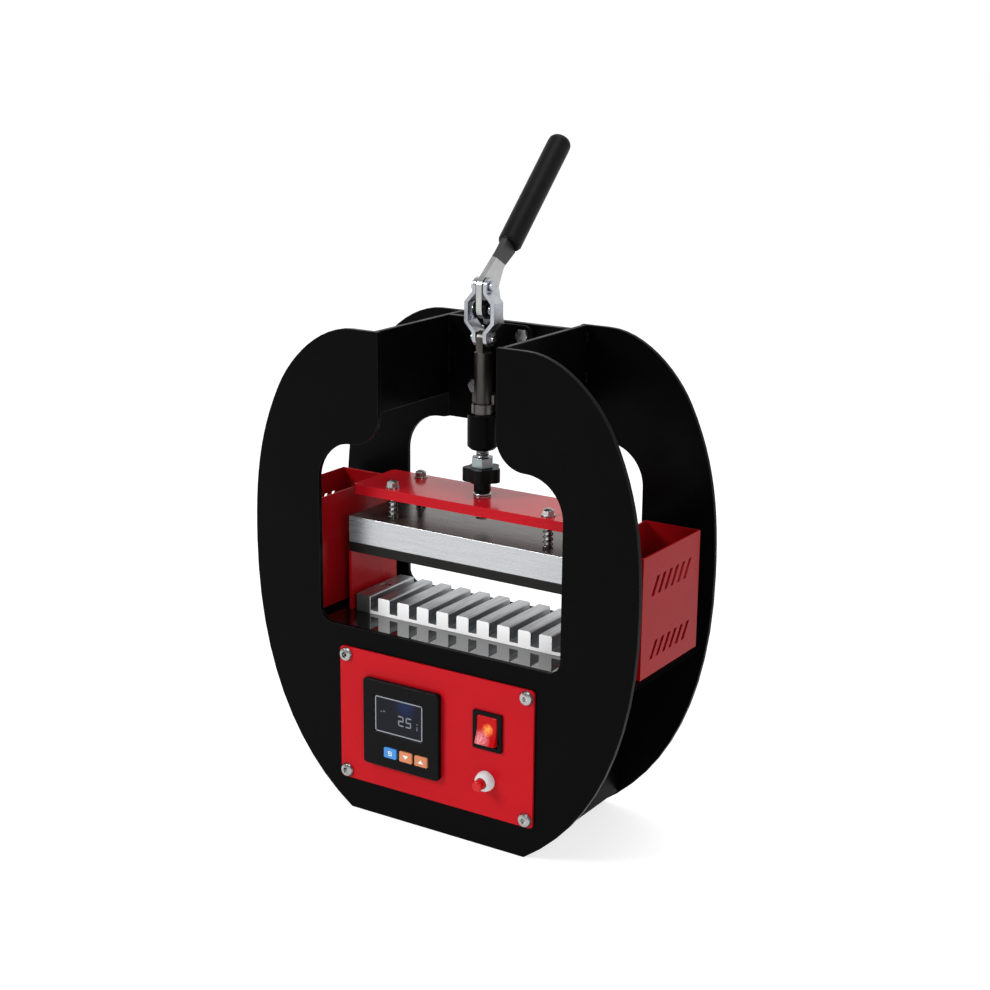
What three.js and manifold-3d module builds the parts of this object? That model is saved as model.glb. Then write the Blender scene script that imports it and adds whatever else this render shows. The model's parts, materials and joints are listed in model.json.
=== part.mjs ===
// Pen heat press with a ten-groove tray and a push-pull toggle clamp.
// Lengths are in millimetres, angles in degrees, +Z is up and the front looks toward -Y.
// Everything is laid out with y = 0 on the front face of the front plate and z = 0 on the table,
// and the finished press is then centred on the table.
import * as THREE from 'three';
import { mergeVertices } from 'three/addons/utils/BufferGeometryUtils.js';
import Module from 'manifold-3d';

const wasm = await Module();
wasm.setup();

// Fits
const clearance = 0.3;
const turningGap = 0.3;
const weldTolerance = 0.00001;

// Frame plates
const plateThickness = 4;
const frameHeight = 393;
const frameDepth = 124.7;
const footHalfWidth = 82;
const footFlareAngle = 33.3;
const footCurveReach = 71.4;
const bellyHalfWidth = 175;
const bellyHeight = 212;
const bellyLowerReach = 99.8;
const bellyUpperReach = 47.8;
const shoulderHalfWidth = 149.3;
const shoulderHeight = 341.2;
const shoulderAngle = 117;
const shoulderReach = 29;
const topHalfWidth = 78;
const topReach = 29;
const slotHalfWidth = 53;
const lobeRadius = 25;
const lobeHeight = 328;
const openingHalfWidth = 111;
const openingCornerRadius = 32;
const openingFloor = 154.5;
const openingFootRadius = 11;

// Ribs, cross plate and shelf between the frame plates
const ribInside = 54.5;
const ribThickness = 4;
const ribBottom = 330;
const crossPlateFront = 98;
const crossPlateThickness = 5;
const crossPlateBottom = 311;
const shelfHalfWidth = 166;
const shelfThickness = 4;
const shelfTop = 153.5;

// Cover of the electrical space
const coverHalfWidth = 98;
const coverThickness = 2;
const coverBottom = 14;
const louvreCount = 6;
const louvreLength = 72;
const louvreHeight = 3;
const louvrePitch = 9;
const louvreFirstHeight = 72;

// Control panel
const panelThickness = 2;
const panelHalfWidth = 90.5;
const panelBottom = 26.4;
const panelTop = 138;
const panelCornerRadius = 3;
const panelWindowHalfWidth = 79;
const panelWindowBottom = 41;
const panelWindowTop = 124;
const panelScrewInset = 6.3;
const panelScrewRadius = 3;
const panelScrewLength = 10;
const panelScrewHeadRadius = 5.75;
const panelScrewHeadHeight = 3.2;
const panelScrewSocket = 4;
const panelScrewSocketDepth = 2;

// Temperature controller
const controllerX = -28.7;
const controllerZ = 82;
const bezelWidth = 72;
const bezelThickness = 5;
const bezelCornerRadius = 3;
const caseWidth = 66;
const caseDepth = 64;
const windowWidth = 46.4;
const windowHeight = 31;
const windowX = -30.3;
const windowZ = 90.5;
const windowPocketDepth = 2.5;
const windowRecess = 0.4;
const keyWidth = 12;
const keyHeight = 8.5;
const keyZ = 59.5;
const keySetX = -38;
const keyDownX = -23.1;
const keyUpX = -8.6;
const keyStandOut = 0.9;
const keyDepth = 4;

// Rocker switch
const rockerX = 50.3;
const rockerZ = 97.5;
const rockerFrameWidth = 26;
const rockerFrameHeight = 31;
const rockerFrameThickness = 2;
const rockerBodyWidth = 23;
const rockerBodyHeight = 28;
const rockerBodyDepth = 24;
const rockerPocketWidth = 18.5;
const rockerPocketHeight = 25;
const rockerPocketDepth = 8;
const rockerKeyWidth = 17.5;
const rockerKeyHalfHeight = 11.4;
const rockerKeyStandOut = 6.5;
const rockerKeyDip = 1.6;
const rockerKeyBack = 1.2;
const rockerTilt = 10;

// Push button
const buttonX = 48.5;
const buttonZ = 56;
const collarRadius = 8.1;
const collarTopRadius = 5.1;
const collarHeight = 7;
const collarBodyRadius = 7;
const collarBodyDepth = 22;
const capRadius = 4.3;
const capStandOut = 14;
const capDepth = 8;
const buttonBoreDepth = 5;
const capEdge = 1;

// Pen tray
const trayFront = 37.3;
const trayDepth = 61;
const trayHeight = 14.5;
const trayWeb = 2.8;
const grooveCount = 10;
const grooveWidth = 7.6;
const groovePitch = 19;
const trayFlange = 14;
const grooveEdgeRadius = 1.5;
const trayScrewRadius = 2.5;
const trayScrewHeadRadius = 4.25;
const trayScrewHeadHeight = 2.6;
const trayScrewCounterbore = 3;
const trayScrewLength = 15;

// Heating head
const headHalfWidth = 105;
const headCentreY = 64.5;
const headCornerRadius = 3;
const pressurePlateDepth = 56;
const pressurePlateThickness = 8;
const headDrop = 38;
const blockDepth = 68;
const springLength = 17;
const blockHeight = 21.5;
const platenThickness = 8;
const headBoltX = 72;
const headBoltSpacing = 39;
const headBoltRadius = 2.5;
const headBoltGrip = 8;
const headBoltFlangeRadius = 5.5;
const headBoltFlangeHeight = 1.2;
const headBoltHexWidth = 8.6;
const headBoltHexHeight = 3.4;
const headBoltDomeHeight = 1.4;
const springRadius = 3.55;
const springWire = 1.2;
const springTurns = 4;
const springSteps = 34;
const springEndShare = 0.013;
const springSides = 5;
const springLeastGap = 0.4;

// Adjuster between the head and the clamp plunger
const spindleRadius = 5;
const spindleBelow = 18;
const spindleAbove = 70;
const thrustCollarRadius = 7;
const thrustCollarHeight = 2.6;
const spindleNutWidth = 16;
const spindleNutHeight = 7;
const hubRadius = 6.7;
const hubRise = 3.5;
const hubLength = 9;
const knobHeight = 11;
const knobRadius = 14;
const knobLobeDepth = 1.6;
const knobLobes = 5;
const lockNutWidth = 16;
const lockNutHeight = 8;

// Toggle clamp
const pivotY = 64.5;
const pivotZ = 407;
const handleRadius = 18;
const linkLength = 40;
const rodRadius = 7;
const rodBottom = 300;
const rodTop = 374;
const tangThickness = 6;
const tangWidth = 12;
const rodBoreTop = 334;
const barrelRadius = 12;
const barrelBottom = 298;
const barrelTop = 326;
const barrelChamfer = 2.5;
const neckRadius = 9;
const neckBottom = 314;
const neckTop = 334;
const saddleHalfWidth = 10;
const saddleFront = 64.5;
const saddleTop = 341;
const flangeThickness = 4;
const flangeBottom = 328;
const flangeTop = 392;
const flangeWaist = 20;
const flangeLobeRadius = 8;
const lowerBoltX = 25.5;
const lowerBoltZ = 340;
const upperBoltX = 17.5;
const upperBoltZ = 384;
const clampBoltRadius = 3;
const clampBoltHexWidth = 10;
const clampBoltHexHeight = 4;
const clampBoltEnd = 7;
const earInside = 2.8;
const earThickness = 3;
const earRadius = 7.5;
const earBottom = 366;
const earThroatY = 74;
const earThroatTop = 392;
const earFrontY = 72;
const earFrontZ = 417;
const earTopZ = 423.5;
const earTopY = 76.8;
const earHeelY = 84.8;
const earHeelZ = 394;
const webFront = 79;
const pinRadius = 3;
const pivotPinEnd = 8;
const pivotHeadRadius = 4.5;
const linkPinEnd = 9;
const linkPinHeadRadius = 4;
const linkInside = 3.3;
const linkThickness = 3.2;
const linkBow = 7;
const linkEndRadius = 6.5;
const linkHeadStraight = 5;
const linkHeadSlope = 8;
const linkFootStraight = 5;
const linkFootSlope = 8;
const rivetEnd = 10;
const rivetHeadRadius = 3.8;

// Handle and grip
const barThickness = 5;
const barEndRadius = 7;
const barElbowAngle = 129;
const barHeelY = 73;
const barHeelZ = 414;
const barBellyY = 81.5;
const barBellyZ = 422;
const barNeckY = 89;
const barNeckZ = 436.5;
const barShoulderY = 83.2;
const barShoulderZ = 448.8;
const barGripWidth = 17;
const gripBaseY = 99.1;
const gripBaseZ = 452.1;
const gripAngle = 44.55;
const gripLength = 108.3;
const gripRadius = 9.5;
const gripBaseRadius = 8.4;
const gripBaseHeight = 2.4;
const gripDome = 6;
const tongueLength = 62;
const tongueWidth = 10;

// Pen baskets
const sheetThickness = 1.5;
const basketOutside = 168.5;
const basketInside = 121.5;
const basketFront = 17.25;
const basketRear = 107.25;
const basketTop = 250;
const spacerHeight = 3.7;
const slotCount = 6;
const slotPitch = 10.1;
const slotWidth = 4.4;
const slotLean = 8.8;
const lowerSlotBottom = 169.5;
const lowerSlotTop = 182.5;
const upperSlotBottom = 218;
const upperSlotTop = 232;
const stripWidth = 12;
const stripLength = 70;
const stripX = 145;

// Power inlet and fuse on the rear plate
const inletX = 45;
const inletZ = 62;
const inletFlangeWidth = 50;
const inletFlangeBottom = 49;
const inletFlangeTop = 86;
const inletFlangeThickness = 3;
const inletBodyWidth = 28;
const inletBodyBottom = 52;
const inletBodyTop = 83;
const inletBodyDepth = 22;
const inletMouthWidth = 24.5;
const inletMouthHeight = 16;
const inletMouthDepth = 17;
const fuseDrawerWidth = 24;
const fuseDrawerHeight = 8;
const fuseDrawerStandOut = 1.5;
const fuseDrawerRise = 17;

// Roundness of the curved surfaces
const curveSteps = 8;
const plateSteps = 12;
const cornerSteps = 3;
const roundSides = 32;
const boltSides = 16;
const hexSides = 6;

// Derived positions
const rearPlateFront = frameDepth - plateThickness;
const panelFront = -panelThickness;
const bezelFront = panelFront - bezelThickness;
const shelfBottom = shelfTop - shelfThickness;
const coverInside = coverHalfWidth - coverThickness;
const trayTop = shelfTop + trayHeight;
const trayRear = trayFront + trayDepth;
const trayHalfWidth = (grooveCount - 1) * groovePitch / 2 + grooveWidth / 2 + trayFlange;
const trayScrewX = trayHalfWidth - trayFlange / 2;
const trayScrewY = trayFront + trayDepth / 2;
const pressurePlateTop = barrelBottom - headDrop;
const pressurePlateBottom = pressurePlateTop - pressurePlateThickness;
const blockTop = pressurePlateBottom - springLength;
const blockBottom = blockTop - blockHeight;
const platenBottom = blockBottom - platenThickness;
const spindleBottom = pressurePlateTop - spindleBelow;
const spindleTop = pressurePlateTop + spindleAbove;
const hubBottom = pressurePlateTop + hubRise;
const knobBottom = hubBottom + hubLength;
const knobTop = knobBottom + knobHeight;
const flangeFront = crossPlateFront - flangeThickness;
const linkTopZ = pivotZ + handleRadius;
const linkFootZ = linkTopZ - linkLength;
const basketFloor = shelfTop + spacerHeight;
const basketMiddle = (basketFront + basketRear) / 2;
const gripDirection = [Math.cos(radians(gripAngle)), Math.sin(radians(gripAngle))];

function radians(degrees) {
  return degrees * Math.PI / 180;
}

// Solids

function solid(geometry) {
  const bare = geometry.clone();
  bare.deleteAttribute('normal');
  bare.deleteAttribute('uv');
  const welded = mergeVertices(bare, weldTolerance);
  const vertProperties = new Float32Array(welded.attributes.position.array);
  const triVerts = new Uint32Array(fullTriangles(welded.index.array));
  return new wasm.Manifold(new wasm.Mesh({ numProp: 3, vertProperties, triVerts }));
}

// Leaves out the triangles that closed up to a line when the vertices were merged.
function fullTriangles(index) {
  const kept = [];
  for (let i = 0; i < index.length; i += 3) {
    const [a, b, c] = [index[i], index[i + 1], index[i + 2]];
    if (a !== b && b !== c && c !== a) {
      kept.push(a, b, c);
    }
  }
  return kept;
}

function geometryOf(body) {
  const mesh = body.getMesh();
  const geometry = new THREE.BufferGeometry();
  geometry.setAttribute('position', new THREE.BufferAttribute(mesh.vertProperties, 3));
  geometry.setIndex(new THREE.BufferAttribute(mesh.triVerts, 1));
  const facets = geometry.toNonIndexed();
  facets.computeVertexNormals();
  return facets;
}

function join(...bodies) {
  return bodies.reduce((whole, body) => whole.add(body));
}

function cut(body, ...tools) {
  return tools.reduce((rest, tool) => rest.subtract(tool), body);
}

function block(x0, x1, y0, y1, z0, z1) {
  const box = new THREE.BoxGeometry(x1 - x0, y1 - y0, z1 - z0);
  box.translate((x0 + x1) / 2, (y0 + y1) / 2, (z0 + z1) / 2);
  return solid(box);
}

function extruded(shape, depth) {
  return new THREE.ExtrudeGeometry(shape, { depth, bevelEnabled: false, curveSegments: cornerSteps });
}

// A shape drawn in x and z, running along y.
function alongY(shape, y0, y1) {
  const geometry = extruded(shape, y1 - y0);
  geometry.rotateX(Math.PI / 2);
  geometry.translate(0, y1, 0);
  return solid(geometry);
}

// A shape drawn in y and z, running along x.
function alongX(shape, x0, x1) {
  const geometry = extruded(shape, x1 - x0);
  const turned = new THREE.Matrix4().set(0, 0, 1, x0, 1, 0, 0, 0, 0, 1, 0, 0, 0, 0, 0, 1);
  geometry.applyMatrix4(turned);
  return solid(geometry);
}

// A shape drawn in x and y, running along z.
function alongZ(shape, z0, z1) {
  const geometry = extruded(shape, z1 - z0);
  geometry.translate(0, 0, z0);
  return solid(geometry);
}

function ringPoints(radius, sides, u, v, turn = 0) {
  const points = [];
  for (let i = 0; i < sides; i += 1) {
    const angle = (i / sides) * Math.PI * 2 + turn;
    points.push(new THREE.Vector2(u + radius * Math.cos(angle), v + radius * Math.sin(angle)));
  }
  return points;
}

function disc(radius, u, v, sides = boltSides) {
  return new THREE.Shape(ringPoints(radius, sides, u, v));
}

function hexagon(width, u, v, turn = 0) {
  return new THREE.Shape(ringPoints(width / Math.sqrt(3), hexSides, u, v, turn));
}

function rectangle(width, height, u, v) {
  return roundedRectangle(width, height, 0, u, v);
}

function roundedRectangle(width, height, radius, u, v) {
  const [left, right] = [u - width / 2, u + width / 2];
  const [low, high] = [v - height / 2, v + height / 2];
  const shape = new THREE.Shape();
  if (radius === 0) {
    shape.setFromPoints([[left, low], [right, low], [right, high], [left, high]].map(pair));
    return shape;
  }
  shape.moveTo(left + radius, low);
  shape.absarc(right - radius, low + radius, radius, -Math.PI / 2, 0);
  shape.absarc(right - radius, high - radius, radius, 0, Math.PI / 2);
  shape.absarc(left + radius, high - radius, radius, Math.PI / 2, Math.PI);
  shape.absarc(left + radius, low + radius, radius, Math.PI, Math.PI * 3 / 2);
  return shape;
}

function pair([u, v]) {
  return new THREE.Vector2(u, v);
}

function polygon(points) {
  return new THREE.Shape(points.map(pair));
}

// A profile of [radius, height] points from the axis back to the axis, turned about a vertical line.
function turnedAt(profile, x, y, sides = roundSides) {
  const geometry = new THREE.LatheGeometry(profile.map(pair), sides);
  geometry.rotateX(Math.PI / 2);
  geometry.translate(x, y, 0);
  return solid(geometry);
}

// The same, with its axis along -Y: heights count from the given y toward the front.
function turnedToFront(profile, x, y, z, sides = boltSides) {
  const geometry = new THREE.LatheGeometry(profile.map(pair), sides);
  geometry.rotateX(Math.PI);
  geometry.translate(x, y, z);
  return solid(geometry);
}

function corners(x, y) {
  return [[-x, -y], [x, -y], [x, y], [-x, y]];
}

// Frame

function plateShape() {
  const flare = radians(footFlareAngle);
  const lean = radians(shoulderAngle);
  const half = new THREE.Path();
  half.moveTo(footHalfWidth, 0);
  half.bezierCurveTo(
    footHalfWidth + footCurveReach * Math.cos(flare), footCurveReach * Math.sin(flare),
    bellyHalfWidth, bellyHeight - bellyLowerReach,
    bellyHalfWidth, bellyHeight,
  );
  half.bezierCurveTo(
    bellyHalfWidth, bellyHeight + bellyUpperReach,
    shoulderHalfWidth - bellyUpperReach * Math.cos(lean), shoulderHeight - bellyUpperReach * Math.sin(lean),
    shoulderHalfWidth, shoulderHeight,
  );
  half.bezierCurveTo(
    shoulderHalfWidth + shoulderReach * Math.cos(lean), shoulderHeight + shoulderReach * Math.sin(lean),
    topHalfWidth + topReach, frameHeight,
    topHalfWidth, frameHeight,
  );
  half.lineTo(slotHalfWidth, frameHeight);
  addKeyhole(half);
  const right = half.getPoints(plateSteps);
  const left = right.map((point) => new THREE.Vector2(-point.x, point.y)).reverse();
  return new THREE.Shape([...right, ...left]);
}

function addKeyhole(half) {
  const cornerZ = lobeHeight - lobeRadius - openingCornerRadius;
  const cornerX = openingHalfWidth - openingCornerRadius;
  const footX = openingHalfWidth - openingFootRadius;
  half.lineTo(slotHalfWidth, lobeHeight);
  half.absarc(slotHalfWidth + lobeRadius, lobeHeight, lobeRadius, Math.PI, Math.PI * 3 / 2, false);
  half.absarc(cornerX, cornerZ, openingCornerRadius, Math.PI / 2, 0, true);
  half.absarc(footX, openingFloor + openingFootRadius, openingFootRadius, 0, -Math.PI / 2, true);
}

function panelScrewPlaces() {
  const x = panelHalfWidth - panelScrewInset;
  const low = panelBottom + panelScrewInset;
  const high = panelTop - panelScrewInset;
  return [[-x, low], [x, low], [x, high], [-x, high]];
}

function panelScrewHoles(y0, y1) {
  const radius = panelScrewRadius + clearance;
  return panelScrewPlaces().map(([x, z]) => alongY(disc(radius, x, z), y0, y1));
}

function frontPlate() {
  const middle = (panelWindowBottom + panelWindowTop) / 2;
  const height = panelWindowTop - panelWindowBottom;
  const window = rectangle(panelWindowHalfWidth * 2, height, 0, middle);
  return cut(
    alongY(plateShape(), 0, plateThickness),
    alongY(window, -plateThickness, plateThickness * 2),
    ...panelScrewHoles(-plateThickness, plateThickness * 2),
  );
}

function rearPlate() {
  const [before, behind] = [rearPlateFront - plateThickness, frameDepth + plateThickness];
  const half = inletBodyWidth / 2 + clearance;
  const [low, high] = [inletBodyBottom - clearance, inletBodyTop + clearance];
  return cut(
    alongY(plateShape(), rearPlateFront, frameDepth),
    block(inletX - half, inletX + half, before, behind, low, high),
  );
}

function rib(side) {
  const middle = side * (ribInside + ribThickness / 2);
  const [x0, x1] = [middle - ribThickness / 2, middle + ribThickness / 2];
  return block(x0, x1, plateThickness, rearPlateFront, ribBottom, frameHeight);
}

function clampBoltPlaces() {
  return [
    [-lowerBoltX, lowerBoltZ],
    [lowerBoltX, lowerBoltZ],
    [upperBoltX, upperBoltZ],
    [-upperBoltX, upperBoltZ],
  ];
}

function clampBoltHoles(y0, y1) {
  return clampBoltPlaces().map(([x, z]) => alongY(disc(clampBoltRadius + clearance, x, z), y0, y1));
}

function crossPlate() {
  const rear = crossPlateFront + crossPlateThickness;
  return cut(
    block(-ribInside, ribInside, crossPlateFront, rear, crossPlateBottom, frameHeight),
    ...clampBoltHoles(crossPlateFront - flangeThickness, rear + flangeThickness),
  );
}

function shelf() {
  const [below, above] = [shelfBottom - shelfThickness, shelfTop + shelfThickness];
  const trayHole = trayScrewRadius + clearance;
  return cut(
    block(-shelfHalfWidth, shelfHalfWidth, plateThickness, rearPlateFront, shelfBottom, shelfTop),
    ...[-trayScrewX, trayScrewX].map((x) => alongZ(disc(trayHole, x, trayScrewY), below, above)),
  );
}

function lowerCover() {
  const louvres = [];
  const middle = frameDepth / 2;
  for (let i = 0; i < louvreCount; i += 1) {
    const z = louvreFirstHeight + i * louvrePitch;
    const louvre = rectangle(louvreLength, louvreHeight, middle, z);
    louvres.push(alongX(louvre, -coverHalfWidth * 2, coverHalfWidth * 2));
  }
  const inside = coverBottom + coverThickness;
  return cut(
    block(-coverHalfWidth, coverHalfWidth, plateThickness, rearPlateFront, coverBottom, shelfBottom),
    block(-coverInside, coverInside, -plateThickness, frameDepth * 2, inside, shelfTop),
    ...louvres,
  );
}

// Control panel

function controlPanel() {
  const height = panelTop - panelBottom;
  const middle = (panelTop + panelBottom) / 2;
  const outline = roundedRectangle(panelHalfWidth * 2, height, panelCornerRadius, 0, middle);
  const [before, behind] = [panelFront - panelThickness, panelThickness];
  const caseHole = rectangle(caseWidth + clearance * 2, caseWidth + clearance * 2, controllerX, controllerZ);
  const rockerHole = rectangle(
    rockerBodyWidth + clearance * 2, rockerBodyHeight + clearance * 2, rockerX, rockerZ,
  );
  return cut(
    alongY(outline, panelFront, 0),
    alongY(caseHole, before, behind),
    alongY(rockerHole, before, behind),
    alongY(disc(collarBodyRadius + clearance, buttonX, buttonZ), before, behind),
    ...panelScrewHoles(before, behind),
  );
}

// A button-head screw whose head sits on the panel.
function panelScrew([x, z]) {
  const crown = panelScrewHeadRadius - panelScrewHeadHeight;
  const profile = [
    [0, -panelScrewLength],
    [panelScrewRadius, -panelScrewLength],
    [panelScrewRadius, 0],
    [panelScrewHeadRadius, 0],
    [panelScrewHeadRadius, panelScrewHeadHeight / 4],
    [panelScrewHeadRadius - panelScrewHeadHeight / 4, panelScrewHeadHeight * 3 / 4],
    [crown, panelScrewHeadHeight],
    [0, panelScrewHeadHeight],
  ];
  const top = panelFront - panelScrewHeadHeight;
  const socketEnd = top + panelScrewSocketDepth;
  const socket = alongY(hexagon(panelScrewSocket, x, z), top - panelScrewHeadHeight, socketEnd);
  return cut(turnedToFront(profile, x, panelFront, z, boltSides), socket);
}

function keyPlaces() {
  return [keySetX, keyDownX, keyUpX];
}

function controllerBezel() {
  const outline = roundedRectangle(bezelWidth, bezelWidth, bezelCornerRadius, controllerX, controllerZ);
  const pocket = rectangle(windowWidth, windowHeight, windowX, windowZ);
  const pocketFloor = bezelFront + windowPocketDepth;
  const keyHoles = keyPlaces().map((x) => {
    const hole = rectangle(keyWidth + turningGap * 2, keyHeight + turningGap * 2, x, keyZ);
    return alongY(hole, bezelFront - keyDepth, 0);
  });
  return cut(
    alongY(outline, bezelFront, panelFront),
    alongY(pocket, bezelFront - windowPocketDepth, pocketFloor),
    ...keyHoles,
  );
}

function controllerCase() {
  const half = caseWidth / 2;
  const [low, high] = [controllerZ - half, controllerZ + half];
  return block(controllerX - half, controllerX + half, panelFront, panelFront + caseDepth, low, high);
}

function displayWindow() {
  const pane = rectangle(windowWidth - clearance * 2, windowHeight - clearance * 2, windowX, windowZ);
  return alongY(pane, bezelFront + windowRecess, bezelFront + windowPocketDepth);
}

function key(x) {
  const front = bezelFront - keyStandOut;
  return alongY(roundedRectangle(keyWidth, keyHeight, keyStandOut, x, keyZ), front, front + keyDepth);
}

function rockerFrame() {
  const edge = rockerFrameThickness / 2;
  const rim = roundedRectangle(rockerFrameWidth, rockerFrameHeight, edge, rockerX, rockerZ);
  const body = rectangle(rockerBodyWidth, rockerBodyHeight, rockerX, rockerZ);
  const pocket = rectangle(rockerPocketWidth, rockerPocketHeight, rockerX, rockerZ);
  const front = panelFront - rockerFrameThickness;
  return cut(
    join(alongY(rim, front, panelFront), alongY(body, panelFront, rockerBodyDepth)),
    alongY(pocket, front - rockerFrameThickness, rockerPocketDepth),
  );
}

// The rocker turns about the x axis line at y = 0 and rests with its upper half pressed in.
function rockerKey() {
  const tilt = radians(rockerTilt);
  const half = rockerKeyHalfHeight;
  const points = [
    [-rockerKeyStandOut, -half],
    [rockerKeyDip - rockerKeyStandOut, 0],
    [-rockerKeyStandOut, half],
    [-rockerKeyBack, half],
    [half / 2, half / 4],
    [half / 2, -half / 4],
    [-rockerKeyBack, -half],
  ];
  const turned = points.map(([y, z]) => [
    y * Math.cos(tilt) + z * Math.sin(tilt),
    rockerZ - y * Math.sin(tilt) + z * Math.cos(tilt),
  ]);
  const width = rockerKeyWidth / 2;
  return alongX(polygon(turned), rockerX - width, rockerX + width);
}

function buttonCollar() {
  const shoulder = (collarRadius * 3 + collarTopRadius) / 4;
  const profile = [
    [0, -collarBodyDepth],
    [collarBodyRadius, -collarBodyDepth],
    [collarBodyRadius, 0],
    [collarRadius, 0],
    [collarRadius, collarHeight / 4],
    [shoulder, collarHeight * 2 / 3],
    [collarTopRadius, collarHeight],
    [0, collarHeight],
  ];
  const bore = disc(capRadius + turningGap, buttonX, buttonZ, roundSides);
  return cut(
    turnedToFront(profile, buttonX, panelFront, buttonZ, roundSides),
    alongY(bore, panelFront - capStandOut, panelFront + buttonBoreDepth),
  );
}

function buttonCap() {
  const inside = capStandOut - collarHeight - capDepth;
  const profile = [
    [0, inside],
    [capRadius, inside],
    [capRadius, capStandOut - capEdge],
    [capRadius - capEdge, capStandOut],
    [0, capStandOut],
  ];
  return turnedToFront(profile, buttonX, panelFront, buttonZ, roundSides);
}

// Pen tray

// The cross section, drawn from the lower left corner along the ribs and grooves to the lower right.
function trayShape() {
  const shape = new THREE.Shape();
  const floor = shelfTop + trayWeb;
  const edge = grooveEdgeRadius;
  shape.moveTo(-trayHalfWidth, shelfTop);
  shape.lineTo(-trayHalfWidth, trayTop);
  for (let i = 0; i < grooveCount; i += 1) {
    const centre = (i - (grooveCount - 1) / 2) * groovePitch;
    const [left, right] = [centre - grooveWidth / 2, centre + grooveWidth / 2];
    shape.lineTo(left - edge, trayTop);
    shape.quadraticCurveTo(left, trayTop, left, trayTop - edge);
    shape.lineTo(left, floor);
    shape.lineTo(right, floor);
    shape.lineTo(right, trayTop - edge);
    shape.quadraticCurveTo(right, trayTop, right + edge, trayTop);
  }
  shape.lineTo(trayHalfWidth, trayTop);
  shape.lineTo(trayHalfWidth, shelfTop);
  return shape;
}

function penTray() {
  const geometry = new THREE.ExtrudeGeometry(trayShape(), {
    depth: trayDepth,
    bevelEnabled: false,
    curveSegments: cornerSteps,
  });
  geometry.rotateX(Math.PI / 2);
  geometry.translate(0, trayRear, 0);
  const seat = trayTop - trayScrewCounterbore;
  const holes = [-trayScrewX, trayScrewX].map((x) => join(
    alongZ(disc(trayScrewRadius + clearance, x, trayScrewY), shelfBottom, trayTop),
    alongZ(disc(trayScrewHeadRadius + clearance, x, trayScrewY), seat, trayTop + trayWeb),
  ));
  return cut(solid(geometry), ...holes);
}

function trayScrew(x) {
  const seat = trayTop - trayScrewCounterbore;
  const crown = trayScrewHeadHeight / 3;
  const profile = [
    [0, seat - trayScrewLength],
    [trayScrewRadius, seat - trayScrewLength],
    [trayScrewRadius, seat],
    [trayScrewHeadRadius, seat],
    [trayScrewHeadRadius, seat + trayScrewHeadHeight - crown],
    [trayScrewHeadRadius - crown, seat + trayScrewHeadHeight],
    [0, seat + trayScrewHeadHeight],
  ];
  return turnedAt(profile, x, trayScrewY, boltSides);
}

// Heating head

function headBoltPlaces() {
  return corners(headBoltX, headBoltSpacing / 2).map(([x, y]) => [x, headCentreY + y]);
}

function pressurePlate() {
  const outline = roundedRectangle(headHalfWidth * 2, pressurePlateDepth, headCornerRadius, 0, headCentreY);
  const [below, above] = [pressurePlateBottom - pressurePlateThickness, pressurePlateTop * 2];
  const boltHole = headBoltRadius + turningGap;
  return cut(
    alongZ(outline, pressurePlateBottom, pressurePlateTop),
    alongZ(disc(spindleRadius + turningGap, 0, headCentreY), below, above),
    ...headBoltPlaces().map(([x, y]) => alongZ(disc(boltHole, x, y), below, above)),
  );
}

function heaterBlock() {
  const outline = rectangle(headHalfWidth * 2, blockDepth, 0, headCentreY);
  const boltHole = headBoltRadius + clearance;
  const boltFloor = blockTop - headBoltGrip - clearance;
  return cut(
    alongZ(outline, blockBottom, blockTop),
    ...headBoltPlaces().map(([x, y]) => alongZ(disc(boltHole, x, y), boltFloor, pressurePlateTop)),
  );
}

function heatPlaten() {
  const outline = rectangle(headHalfWidth * 2, blockDepth, 0, headCentreY);
  return alongZ(outline, platenBottom, blockBottom);
}

// A flanged bolt that holds the block under the plate, with a domed head.
function headBolt([x, y]) {
  const seat = pressurePlateTop;
  const flangeTopZ = seat + headBoltFlangeHeight;
  const domeBase = flangeTopZ + headBoltHexHeight;
  const domeRadius = headBoltHexWidth / 2;
  const shank = [
    [0, blockTop - headBoltGrip],
    [headBoltRadius, blockTop - headBoltGrip],
    [headBoltRadius, seat],
    [headBoltFlangeRadius, seat],
    [headBoltFlangeRadius, flangeTopZ],
    [domeRadius, flangeTopZ],
    [domeRadius, domeBase],
    [domeRadius / 2, domeBase + headBoltDomeHeight],
    [0, domeBase + headBoltDomeHeight],
  ];
  return join(
    turnedAt(shank, x, y, boltSides),
    alongZ(hexagon(headBoltHexWidth, x, y), seat, domeBase),
  );
}

// The centre line of a compression spring: a short upright end on each seat and even turns in between.
class SpringLine extends THREE.Curve {
  constructor(x, y) {
    super();
    this.x = x;
    this.y = y;
  }

  getPoint(t, target = new THREE.Vector3()) {
    const winding = THREE.MathUtils.clamp((t - springEndShare) / (1 - springEndShare * 2), 0, 1);
    const upright = Math.min(t / springEndShare, 1) + Math.max((t - 1) / springEndShare + 1, 0);
    const angle = winding * springTurns * Math.PI * 2;
    const rise = winding * (springLength - springWire * 2);
    return target.set(
      this.x + springRadius * Math.cos(angle),
      this.y + springRadius * Math.sin(angle),
      blockTop + upright * springWire + rise,
    );
  }
}

function headSpring([x, y]) {
  const geometry = new THREE.ExtrudeGeometry(disc(springWire / 2, 0, 0, springSides), {
    steps: springSteps,
    bevelEnabled: false,
    extrudePath: new SpringLine(x, y),
  });
  return solid(geometry);
}

// The least gap between one turn of the wire and the next, measured on the points of its centre line.
function springGap() {
  const points = new SpringLine(0, 0).getSpacedPoints(springSteps);
  const nextTurn = Math.floor(springSteps / springTurns * 3 / 4);
  let least = Infinity;
  points.forEach((point, i) => {
    points.slice(i + nextTurn).forEach((other) => {
      least = Math.min(least, point.distanceTo(other) - springWire);
    });
  });
  return least;
}

// Adjuster

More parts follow.
